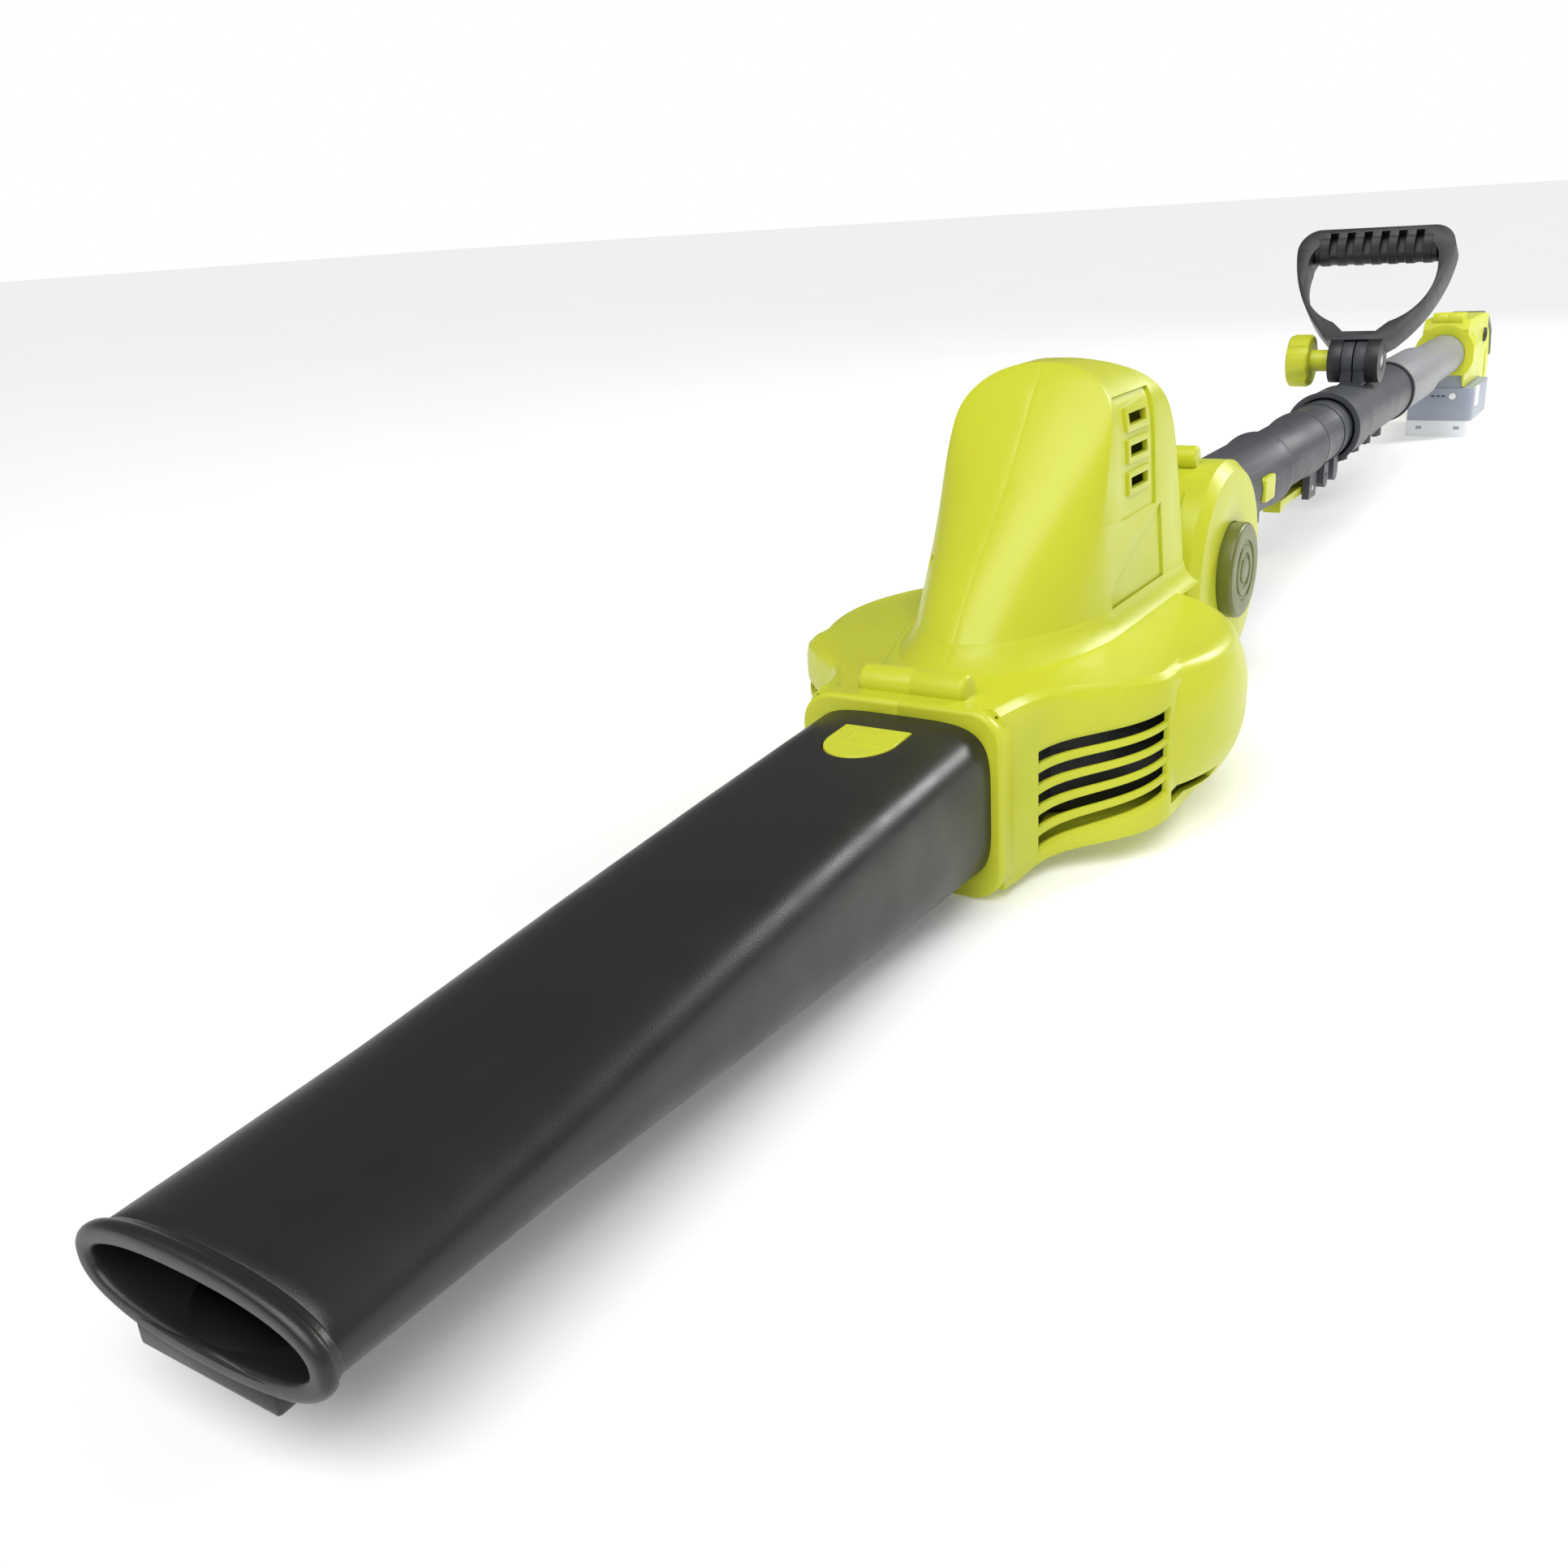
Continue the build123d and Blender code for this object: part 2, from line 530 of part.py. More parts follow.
def nozzle():
    insert = extrude(super_section(INSERT_SECTION, NOZZLE_ROOT_Y + NOZZLE_INSERT, NOZZLE_Z), NOZZLE_INSERT)
    rim = extrude(super_section(LIP_SECTION, TIP_Y + LIP_RIM_LENGTH, NOZZLE_Z, LIP_RIM), LIP_RIM_LENGTH)
    drop = NOZZLE_Z - LIP_SECTION[1] / 2 - LIP_RIM
    foot = box(-FOOT[0] / 2, FOOT[0] / 2, TIP_Y, TIP_Y + FOOT[1], drop - FOOT[2], drop + 4)
    solid = nozzle_loft(0) + insert + rim + foot
    bore = extrude(super_section(INSERT_SECTION, NOZZLE_ROOT_Y + NOZZLE_INSERT + 1, NOZZLE_Z, -NOZZLE_WALL),
                   NOZZLE_INSERT + 3)
    solid = solid - nozzle_loft(NOZZLE_WALL, 2.0) - bore
    window = Pos(0, 0, NOZZLE_Z + 20) * extrude(latch_outline(0.5), 40)
    hook_way = box(-8.5, 8.5, NOZZLE_ROOT_Y + 8, NOZZLE_ROOT_Y + 19, NOZZLE_Z + 25, NOZZLE_Z + 45)
    return solid - window - hook_way


def nozzle_latch():
    top = NOZZLE_Z + 40.5
    button = Pos(0, 0, top - 8) * extrude(latch_outline(), 8)
    for i in range(4):
        groove_y = NOZZLE_ROOT_Y - 27 - i * 5
        button = button - box(-12, 12, groove_y, groove_y + 1.5, top - 0.8, top)
    spring_arm = box(-8, 8, NOZZLE_ROOT_Y - 45, NOZZLE_ROOT_Y + 17, top - 10.5, top - 8)
    hook = box(-8, 8, NOZZLE_ROOT_Y + 11, NOZZLE_ROOT_Y + 17, top - 8, top - 4.6)
    return button + spring_arm + hook


# ---------------------------------------------------------------- head pivot and pole coupling
def pivot_adapter():
    hub = cyl_x(HUB_R, -HUB_HALF_WIDTH, HUB_HALF_WIDTH, PIVOT_Y, PIVOT_Z)
    tongue = box(-HUB_HALF_WIDTH, HUB_HALF_WIDTH, PIVOT_Y, ADAPTER_FRONT_Y + 4,
                 PIVOT_Z - TONGUE_BELOW, PIVOT_Z + TONGUE_ABOVE)
    barrel = cyl_y(ADAPTER_R, ADAPTER_FRONT_Y, ADAPTER_REAR_Y)
    flare = Pos(0, ADAPTER_REAR_Y - 9, POLE_Z) * Rot(-90, 0, 0) * Cone(ADAPTER_R, ADAPTER_R + 1.8, 18)
    ring = cyl_y(ADAPTER_R + 1.6, ADAPTER_FRONT_Y + 40, ADAPTER_FRONT_Y + 52)
    tab = box(-9, 9, -100, -68, POLE_Z - ADAPTER_R - 9, POLE_Z - ADAPTER_R + 3)
    body = hub + tongue + barrel + flare + ring + tab
    body = body - cyl_x(AXLE_R + RUNNING_GAP, -30, 30, PIVOT_Y, PIVOT_Z)
    for side in (-1, 1):
        x0, x1 = sorted((side * 5, side * 30))
        body = body - (cyl_x(HUB_R - 5, x0, x1, PIVOT_Y, PIVOT_Z) - cyl_x(13, x0, x1, PIVOT_Y, PIVOT_Z))
    body = body - cyl_y(INNER_TUBE_R - 2, ADAPTER_FRONT_Y + 8, ADAPTER_REAR_Y - SPIGOT_LENGTH)
    body = body - cyl_y(INNER_TUBE_R + SLIDING_GAP, ADAPTER_REAR_Y - SPIGOT_LENGTH - 2, ADAPTER_REAR_Y + 1)
    y, width, height = -122.0, 27.0, 19.0
    return body - box(0, 40, y - width / 2, y + width / 2, POLE_Z - height / 2, POLE_Z + height / 2)


def coupling_button():
    y, width, height = -122.0, 26.0, 18.0
    block = box(22.3, ADAPTER_R + 1.8, y - width / 2, y + width / 2, POLE_Z - height / 2, POLE_Z + height / 2)
    return fillet(block.edges().filter_by(Axis.X), 3)


def pivot_parts():
    face = DRUM_HALF_WIDTH - 0.5
    button = cyl_x(LOCK_BUTTON_R, face, face + 10, PIVOT_Y, PIVOT_Z)
    button = fillet(button.edges().group_by(Axis.X)[-1], 2.5)
    for r in (19.0, 11.0):
        groove = cyl_x(r, face + 9, face + 11, PIVOT_Y, PIVOT_Z)
        button = button - (groove - cyl_x(r - 3, face + 8, face + 12, PIVOT_Y, PIVOT_Z))
    cap = cyl_x(15.5, -DRUM_HALF_WIDTH - 1, -AXLE_END, PIVOT_Y, PIVOT_Z)
    return {
        "pivot_adapter": pivot_adapter(),
        "pivot_axle": cyl_x(AXLE_R, -AXLE_END, AXLE_END, PIVOT_Y, PIVOT_Z),
        "pivot_lock_button": button,
        "pivot_cap": chamfer(cap.edges().group_by(Axis.X)[0], 1.5),
        "coupling_button": coupling_button(),
    }


# ---------------------------------------------------------------- pole
def inner_tube():
    """The sliding tube: it carries the head at its front end and a bush at its rear end."""
    front = ADAPTER_REAR_Y - SPIGOT_LENGTH
    return tube_y(INNER_TUBE_R, INNER_TUBE_R - INNER_TUBE_WALL, front, INNER_TUBE_REAR_Y)


def lock_collar():
    """The dark barrel between the head and the handle clamp, with the flip lock under it."""
    front = ADAPTER_REAR_Y + 0.5
    body = cyl_y(26, front, CLAMP_FRONT_Y + 20)
    flare = Pos(0, COLLAR2_Y - 12, POLE_Z) * Rot(-90, 0, 0) * Cone(26, 28, 24)
    body = body + flare + cyl_y(28, COLLAR2_Y, COLLAR2_Y + 8)
    body = body - (cyl_y(29, COLLAR2_Y + 3, COLLAR2_Y + 5) - cyl_y(27, COLLAR2_Y, COLLAR2_Y + 9))
    body = body + cyl_y(27, CLAMP_FRONT_Y - 30, CLAMP_FRONT_Y - 24)
    for x in (-14.0, 8.0):
        body = body + box(x, x + 6, LEVER_PIN[0] - 12, LEVER_PIN[0] + 12, LEVER_PIN[1] - 8, POLE_Z - 15)
    for y in (110.0, 146.0):
        body = body + cyl_x(8, -18, 18, y, POLE_Z - 33)
        body = body + box(-18, 18, y - 8, y + 8, POLE_Z - 33, POLE_Z - 20)
    body = body - cyl_y(INNER_TUBE_R + SLIDING_GAP, -80, 200) - cyl_y(22.5, -25, 50) - cyl_y(22.5, 78, 160)
    body = body - cyl_x(2.5, -20, 20, *LEVER_PIN)
    return body - cyl_x(SCREW_R + 0.5, -20, 20, 110, POLE_Z - 30)


def flip_lever():
    y, z = LEVER_PIN
    arm = box(-7, 7, y - LEVER_LENGTH, y, z - 4, z + 3) + cyl_x(6.5, -7, 7, y, z)
    tip = box(-7, 7, y - LEVER_LENGTH, y - LEVER_LENGTH + 12, z - 7, z - 3)
    return arm + tip - cyl_x(2.5 + RUNNING_GAP, -10, 10, y, z)


def handle_clamp():
    """The clamp body round the main tube, with a socket at its front and the handle's ears on top."""
    body = cyl_y(CLAMP_R - 3, CLAMP_FRONT_Y, CLAMP_REAR_Y) + cyl_y(CLAMP_R, CLAMP_FRONT_Y, CLAMP_FRONT_Y + 62)
    body = body + Pos(0, CLAMP_FRONT_Y + 5, POLE_Z) * Rot(90, 0, 0) * Cone(CLAMP_R, CLAMP_R + 1.2, 10)
    y, z = D_PIVOT
    for x in (-EAR_WIDTH - EAR_SLIT / 2, EAR_SLIT / 2):
        end = x + EAR_WIDTH
        body = body + cyl_x(KNUCKLE_R - 2, x, end, y, z) + box(x, end, y - 16, y + 16, POLE_Z + 20, z - 6)
    pad = EAR_WIDTH + EAR_SLIT / 2
    body = body + box(-pad, pad, y - 24, y + 24, POLE_Z + 20, POLE_Z + CLAMP_R - 4)
    for boss_y in CLAMP_SCREWS_Y:
        body = body + cyl_z(6, POLE_Z - 40, POLE_Z - 15, 0, boss_y)
    body = body + box(-3, 3, 240, 410, POLE_Z - 36, POLE_Z - 20)
    body = body - cyl_y(28, CLAMP_FRONT_Y - 1, CLAMP_FRONT_Y + 12)
    body = body - cyl_y(26, CLAMP_FRONT_Y, CLAMP_FRONT_Y + 20)
    body = body - cyl_y(MAIN_TUBE_R, CLAMP_FRONT_Y + 20, CLAMP_REAR_Y + 1)
    for boss_y in CLAMP_SCREWS_Y:
        body = body - cyl_z(SCREW_R, POLE_Z - 45, POLE_Z - 27, 0, boss_y)
    return body - cyl_x(D_BOLT_R, -30, 30, y, z)


def clamp_screws():
    low = POLE_Z - 40
    return Compound([cyl_z(SCREW_R, low, low + 13, 0, y) + cyl_z(SCREW_HEAD_R - 0.2, low - 1.5, low, 0, y)
                     for y in CLAMP_SCREWS_Y])


def pole_parts():
    collar_front = CLAMP_FRONT_Y + 20
    sleeve = tube_y(SLEEVE_R, MAIN_TUBE_R, CLAMP_REAR_Y + 6, SLEEVE_REAR_Y)
    sleeve = fillet(sleeve.edges().sort_by(Axis.Y)[-2:].sort_by(SortBy.LENGTH)[-1], 4)
    lever_pin = cyl_x(2.5, -14, 14, *LEVER_PIN)
    return {
        "inner_tube": inner_tube(),
        "inner_tube_bush": tube_y(MAIN_TUBE_R - MAIN_TUBE_WALL - SLIDING_GAP, INNER_TUBE_R,
                                  INNER_TUBE_REAR_Y - 30, INNER_TUBE_REAR_Y),
        "lock_collar": lock_collar(),
        "flip_lever": flip_lever(),
        "flip_lever_pin": lever_pin,
        "handle_clamp": handle_clamp(),
        "clamp_screws": clamp_screws(),
        "main_tube": tube_y(MAIN_TUBE_R, MAIN_TUBE_R - MAIN_TUBE_WALL, collar_front, ENTRY_Y + 60),
        "sleeve_seal": tube_y(CLAMP_R - 1, MAIN_TUBE_R, CLAMP_REAR_Y, CLAMP_REAR_Y + 6),
        "tube_sleeve": sleeve,
    }


# ---------------------------------------------------------------- front D-handle
def d_plane():
    """The D-handle's own plane: its X runs across, its Y up the tilted handle from the pivot."""
    y, z = D_PIVOT
    normal = (0, -cos(radians(D_TILT)), sin(radians(D_TILT)))
    return Plane(origin=(0, y, z), x_dir=(1, 0, 0), z_dir=normal)


def d_outline(inset):
    w, top = D_HALF_WIDTH - inset, D_HEIGHT - inset
    low = 6.0 + inset * 1.15
    left = [
        Line((0, top), (-w + 22, top)),
        ThreePointArc((-w + 22, top), (-w + 6.5, top - 6.5), (-w + 1, top - 22)),
        ThreePointArc((-w + 1, top - 22), (-w + 12, top - 66), (-w * 0.42, low + 12)),
        Line((-w * 0.42, low + 12), (-12, low)),
        Line((-12, low), (0, low)),
    ]
    face = make_face(left + [Line((0, low), (0, top))])
    return face + mirror(face, Plane.YZ)


def knuckle_room(half_width):
    """The room round the clamp's ears on the side away from the handle's web."""
    y, z = D_PIVOT
    below = d_plane() * Pos(0, -13, 0) * Box(2 * half_width, 54, 60)
    return below & cyl_x(KNUCKLE_R + 1, -half_width, half_width, y, z)


def d_handle():
    plane = d_plane()
    depth = 2 * D_GRIP_R
    loop = extrude(plane * (d_outline(0) - d_outline(12.5)), depth / 2, both=True)
    grip = plane * Pos(0, D_HEIGHT - D_GRIP_R, 0) * Rot(0, 90, 0) * Cylinder(D_GRIP_R, 2 * D_HALF_WIDTH - 34)
    y, z = D_PIVOT
    gap = EAR_WIDTH + EAR_SLIT / 2 + 0.3
    web = plane * Pos(0, 16, 0) * Box(2 * KNUCKLE_END, 16, 24)
    shape = loop + grip + web + cyl_x(KNUCKLE_R, -KNUCKLE_END, KNUCKLE_END, y, z)
    shape = shape - cyl_x(KNUCKLE_R - 1.5, -gap, gap, y, z) - knuckle_room(gap)
    for i in range(6):
        pocket = plane * Pos((i - 2.5) * 15.5, D_HEIGHT - D_GRIP_R, 12) * Box(7.5, 20, 16)
        shape = shape - pocket
    shape = shape - cyl_x(D_BOLT_R, -30, 30, y, z)
    nut_recess = cyl_x(8, 19, 30, y, z)
    return shape - nut_recess


def knob_parts():
    y, z = D_PIVOT
    radius, outer, inner = KNOB
    knob = chamfer(cyl_x(radius, outer, inner, y, z).edges(), 2)
    knob = knob + cyl_x(10, inner - 1, -KNUCKLE_END - 0.4, y, z)
    for i in range(6):
        angle = radians(60 * i + 30)
        reach = radius + 5.5
        knob = knob - cyl_x(8, outer - 1, inner + 0.1, y + reach * cos(angle), z + reach * sin(angle))
    knob = knob - cyl_x(D_BOLT_R, outer + 6, 0, y, z)
    bolt = cyl_x(D_BOLT_R - RUNNING_GAP, outer + 6, KNUCKLE_END, y, z)
    prism = Rot(0, 90, 0) * extrude(RegularPolygon(6.6, 6, major_radius=False), 4)
    nut = Pos(19, y, z) * prism - cyl_x(D_BOLT_R, 10, 30, y, z)
    return {"clamp_knob": knob, "clamp_bolt": bolt, "clamp_nut": nut}


# ---------------------------------------------------------------- rear handle
HANDLE_SCREWS = ((812.0, 138.0), (900.0, 126.0), (923.5, 62.0), (1024.0, 96.0), (1016.0, 40.0))


def handle_outer():
    body = side_prism([(ENTRY_Y + 6, RAIL_Z), (ENTRY_Y, 70), (ENTRY_Y, 130), (796, 141), (830, 141),
                       (905, 140), (945, 136), (945, 100), (938, 30), (913, 30), (913, RAIL_Z)],
                      HANDLE_HALF_WIDTH)
    collar = cyl_y(35, ENTRY_Y, ENTRY_Y + 34) & box(-34, 34, ENTRY_Y, ENTRY_Y + 34, 72, 150)
    arm = side_prism([(916, 139), (950, 137), (1000, 128), (1036, 108), (REAR_Y, 74), (REAR_Y - 5, 36),
                      (1030, 24), (940, 24), (916, 32)], ARM_HALF_WIDTH)
    arm = fillet(arm.edges().filter_by(Axis.X), 6)
    lugs = cyl_x(7, -17, 17, ENTRY_Y + 12, 142) + cyl_x(6, -15, 15, ENTRY_Y + 44, 141)
    return body + collar + arm + lugs


def finger_loop(grow=0.0):
    g = grow
    return side_prism([(947 - g, 106 + g), (992 + g, 100 + g), (1018 + g, 84), (1024 + g, 52 - g),
                       (1014, 42 - g), (955 - g, 42 - g), (947 - g, 50)], ARM_HALF_WIDTH + 3)


def handle_shell():
    outer = handle_outer()
    inner = side_prism([(ENTRY_Y + 30, 79), (ENTRY_Y + 30, 130), (940, 134), (941, 100), (934, 46), (917, 34),
                        (917, 79)], HANDLE_HALF_WIDTH - SHELL)
    arm_room = side_prism([(930, 132), (950, 132), (984, 125), (984, 116), (948, 112), (938, 112)], 12)
    shell = outer - finger_loop() - (inner & box(-60, 60, 700, 946, 0, 200)) - arm_room
    for y, z in HANDLE_SCREWS:
        shell = shell + (cyl_x(5, -40, 40, y, z) & outer)
    shell = shell - cyl_y(MAIN_TUBE_R, ENTRY_Y - 1, ENTRY_Y + 60)
    shell = shell - box(-BATTERY_BLOCK[0] - 0.5, BATTERY_BLOCK[0] + 0.5, ENTRY_Y - 5, 905, 50, 75.6)
    shell = shell - handle_grip()
    shell = shell - box(-6.5, 6.5, 934, 984, 86, 128)
    shell = shell - cyl_x(9, -40, 40, 918, 112)
    for y, z in HANDLE_SCREWS:
        shell = shell - screw_x(y, z) - screw_access(y, z)
    return shell


def trigger():
    y, z = 940.0, 116.0
    blade = side_prism([(936, 112), (978, 112), (978, 106), (972, 92), (962, 90), (946, 96), (936, 106)], 6)
    return blade + cyl_x(5, -6, 6, y, z) - cyl_x(2 + RUNNING_GAP, -10, 10, y, z)


def handle_parts():
    shell = handle_shell()
    trigger_pin = cyl_x(2, -13, 13, 940, 116)
    button = cyl_x(8.5, -HANDLE_HALF_WIDTH - 2.5, HANDLE_HALF_WIDTH + 2.5, 918, 112)
    switch = box(-9, 9, 946, 968, 118.5, 128)
    terminal = box(-22, 22, 876, 904.5, 61, 75.4)
    blades = [box(x, x + 1.2, 860, 876, 63, 72) for x in (-15.0, -5.0, 4.0, 14.0)]
    grip = handle_grip()
    return {
        "handle_left": half(shell, -1) - trigger_pin,
        "handle_right": half(shell, 1) - trigger_pin,
        "handle_grip": grip,
        "trigger": trigger(),
        "trigger_pin": trigger_pin,
        "lock_off_button": button - cyl_x(5, -40, -24, 918, 112) - cyl_x(5, 24, 40, 918, 112),
        "trigger_switch": switch,
        "terminal_block": terminal,
        "terminal_blades": Compound(blades),
        "handle_screws": Compound([screw_x(y, z) for y, z in HANDLE_SCREWS]),
    }


def handle_grip():
    """The soft skin over the top and back of the rear arm."""
    path = [(952, 138.5), (1001, 129.4), (1037.5, 109), (REAR_Y, 74)]
    skin = side_prism(path + [(REAR_Y - 3, 74), (1034, 106), (999, 125.5), (952, 134.5)], ARM_HALF_WIDTH + 2)
    return skin


# ---------------------------------------------------------------- battery
def battery_parts():
    w, y0, y1 = BATTERY_HALF_WIDTH, BATTERY_FRONT_Y, BATTERY_REAR_Y
    base = box(-w, w, y0, y1, 0, BATTERY_BASE_H)
    base = fillet(base.edges().filter_by(Axis.Z), 8)
    base = base - box(-w + 3, w - 3, y0 + 3, y1 - 3, 3, BATTERY_BASE_H + 1)
    case = box(-w, w, y0, y1, BATTERY_BASE_H, BATTERY_TOP)
    case = fillet(case.edges().filter_by(Axis.Z), 8)
    block_w, block_top, block_rear = BATTERY_BLOCK
    case = case + box(-block_w, block_w, y0 + 1, block_rear, BATTERY_TOP - 3, block_top)
    case = case - box(-w + 3, w - 3, y0 + 3, y1 - 3, BATTERY_BASE_H - 1, BATTERY_TOP - 3)
    case = case - box(-17, 17, 856, 880, BATTERY_TOP + 1, block_top + 1)
    cells = [Pos(0, y0 + 17 + i * 19.5, 36) * Rot(0, 90, 0) * Cylinder(9, 65) for i in range(5)]
    for side in (-1, 1):
        a, b = sorted((side * 35, side * 50))
        case = case - box(a, b, y0 + 10, y0 + 34, 36, BATTERY_TOP + 1)
        a, b = sorted((side * 33, side * 35))
        case = case + box(a, b, y0 + 8, y0 + 36, 34, BATTERY_TOP - 2)
    case = case - cyl_y(4.5, y0 - 1, y0 + 2.6, 50, 14)
    button = cyl_y(4.2, y0 - 0.8, y0 + 2.0, 50, 14)
    latches = {}
    for side, name in ((-1, "left"), (1, "right")):
        a, b = sorted((side * 36.6, side * 39.6))
        latches["battery_latch_" + name] = box(a, b, y0 + 10.5, y0 + 33.5, 36.5, BATTERY_TOP)
    return {
        "battery_case": case,
        "battery_base": base,
        "battery_cells": Compound(cells),
        "battery_gauge_button": button,
        **latches,
    }


# ---------------------------------------------------------------- export
def all_parts():
    shell = housing()
    parts = {
        "housing_left": half(shell, -1),
        "housing_right": half(shell, 1),
        "housing_screws": Compound([screw_x(y, z) for y, z in HOUSING_SCREWS]),
        "intake_grille": intake_grille(),
        "intake_ring": intake_ring(),
        "blow_nozzle": nozzle(),
        "nozzle_latch": nozzle_latch(),
        "d_handle": d_handle(),
    }
    groups = (scroll_parts, motor_parts, pivot_parts, pole_parts, knob_parts, handle_parts, battery_parts)
    for group in groups:
        parts.update(group())
    return parts


def main():
    os.makedirs("parts", exist_ok=True)
    for old in os.listdir("parts"):
        os.remove(os.path.join("parts", old))
    for name, shape in all_parts().items():
        export_step(shape, os.path.join("parts", name + ".step"))
        print(name, round(shape.volume / 1000, 2), "cm3")


main()
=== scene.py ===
import math

import bmesh
import bpy
from mathutils import Matrix, Vector


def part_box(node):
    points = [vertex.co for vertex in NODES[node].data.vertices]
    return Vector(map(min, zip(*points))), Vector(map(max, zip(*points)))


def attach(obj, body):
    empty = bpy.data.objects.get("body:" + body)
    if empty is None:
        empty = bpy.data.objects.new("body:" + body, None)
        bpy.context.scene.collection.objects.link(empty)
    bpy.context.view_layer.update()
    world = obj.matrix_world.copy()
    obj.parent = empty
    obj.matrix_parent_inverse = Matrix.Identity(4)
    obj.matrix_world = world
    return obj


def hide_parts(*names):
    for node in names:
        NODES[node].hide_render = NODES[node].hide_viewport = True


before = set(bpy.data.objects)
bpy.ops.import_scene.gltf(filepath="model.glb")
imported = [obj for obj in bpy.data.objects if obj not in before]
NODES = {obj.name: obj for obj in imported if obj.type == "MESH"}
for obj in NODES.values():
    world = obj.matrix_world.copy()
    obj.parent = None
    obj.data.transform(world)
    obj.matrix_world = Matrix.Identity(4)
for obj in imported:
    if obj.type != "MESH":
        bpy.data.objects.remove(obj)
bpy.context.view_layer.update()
SCENE = bpy.context.scene

# ---------------------------------------------------------------- materials
NOISE_LOW, NOISE_HIGH = 0.3, 0.7        # where most of a noise texture's values lie
MIX_FACTOR, MIX_A, MIX_B, MIX_RESULT = 0, 6, 7, 2       # the colour sockets of a Mix node


class Shader:
    """A Principled material whose colour, roughness and bump come from nodes."""

    def __init__(self, name, rough, metallic=0.0, specular=0.5):
        self.material = bpy.data.materials.new(name)
        self.material.use_nodes = True
        self.tree = self.material.node_tree
        self.links = self.tree.links
        self.bsdf = self.tree.nodes["Principled BSDF"]
        self.bsdf.inputs["Metallic"].default_value = metallic
        self.bsdf.inputs["Roughness"].default_value = rough
        self.bsdf.inputs["Specular IOR Level"].default_value = specular
        self.place = self.node("ShaderNodeTexCoord").outputs["Object"]

    def node(self, kind, **values):
        made = self.tree.nodes.new(kind)
        for key, value in values.items():
            if key in made.inputs:
                made.inputs[key].default_value = value
            else:
                setattr(made, key, value)
        return made

    def noise(self, scale, detail=3.0, stretch=None):
        source = self.place
        if stretch:
            mapping = self.node("ShaderNodeMapping", Scale=stretch)
            self.links.new(self.place, mapping.inputs["Vector"])
            source = mapping.outputs["Vector"]
        noise = self.node("ShaderNodeTexNoise", Scale=scale, Detail=detail)
        self.links.new(source, noise.inputs["Vector"])
        return noise.outputs["Fac"]

    def ramp(self, fac, low, high):
        """A colour that goes from low to high over a noise's usual range."""
        ramp = self.node("ShaderNodeValToRGB")
        stops = ((NOISE_LOW, low), (NOISE_HIGH, high))
        for element, (position, colour) in zip(ramp.color_ramp.elements, stops):
            element.position = position
            element.color = (*colour, 1.0)
        self.links.new(fac, ramp.inputs["Fac"])
        return ramp.outputs["Color"]

    def remap(self, fac, low, high, out_low, out_high):
        mapped = self.node("ShaderNodeMapRange")
        for key, value in (("From Min", low), ("From Max", high), ("To Min", out_low), ("To Max", out_high)):
            mapped.inputs[key].default_value = value
        self.links.new(fac, mapped.inputs["Value"])
        return mapped.outputs["Result"]

    def mix(self, fac, base, colour):
        """The base socket's colour, mixed with a plain colour."""
        mixed = self.node("ShaderNodeMix", data_type="RGBA")
        self.links.new(fac, mixed.inputs[MIX_FACTOR])
        self.links.new(base, mixed.inputs[MIX_A])
        mixed.inputs[MIX_B].default_value = (*colour, 1.0)
        return mixed.outputs[MIX_RESULT]

    def colour(self, socket):
        self.links.new(socket, self.bsdf.inputs["Base Color"])

    def roughness(self, fac, low, high):
        self.links.new(self.remap(fac, NOISE_LOW, NOISE_HIGH, low, high), self.bsdf.inputs["Roughness"])

    def bump(self, *layers):
        """Each layer is (height, distance in metres, strength)."""
        normal = None
        for height, distance, strength in layers:
            bump = self.node("ShaderNodeBump", Distance=distance, Strength=strength)
            self.links.new(height, bump.inputs["Height"])
            if normal:
                self.links.new(normal, bump.inputs["Normal"])
            normal = bump.outputs["Normal"]
        self.links.new(normal, self.bsdf.inputs["Normal"])


def shade(colour, factor):
    return tuple(min(1.0, c * factor) for c in colour)


PATCH_SCALE, RUB_SCALE, FLOW_SCALE = 9.0, 38.0, 26.0    # tone patches, rubbed patches, mould flow marks
FLOW_DEPTH, FLOW_STRENGTH = 0.0006, 0.06
SPECK_LOW, SPECK_HIGH, SPECK_SHARE = 0.42, 0.62, 0.35
VARIATION = 0.06


def plastic(name, colour, rough, grain=2600.0, depth=0.00006, strength=0.35, specular=0.5, vary=VARIATION):
    """Moulded plastic: a fine spark-eroded grain, faint flow marks and rubbed, dusty patches."""
    s = Shader(name, rough, specular=specular)
    fine = s.noise(grain, 2.0)
    base = s.ramp(s.noise(PATCH_SCALE, 4.0), shade(colour, 1 - vary), shade(colour, 1 + vary))
    speck = s.remap(fine, SPECK_LOW, SPECK_HIGH, 0.0, SPECK_SHARE * vary / VARIATION)
    s.colour(s.mix(speck, base, shade(colour, 1.0 + 2 * vary)))
    s.roughness(s.noise(RUB_SCALE, 5.0), rough - 0.05, rough + 0.06)
    s.bump((fine, depth, strength), (s.noise(FLOW_SCALE, 3.0), FLOW_DEPTH, FLOW_STRENGTH))
    return s.material


def metal(name, colour, rough):
    """Turned metal: a fine texture and a little colour change."""
    s = Shader(name, rough, metallic=1.0)
    fine = s.noise(900.0)
    s.colour(s.ramp(s.noise(30.0, 4.0), shade(colour, 0.88), shade(colour, 1.08)))
    s.roughness(fine, rough - 0.08, rough + 0.12)
    s.bump((fine, 0.00004, 0.3))
    return s.material


ALONG_POLE = (1.0, 0.02, 1.0)           # stretches a texture along Y


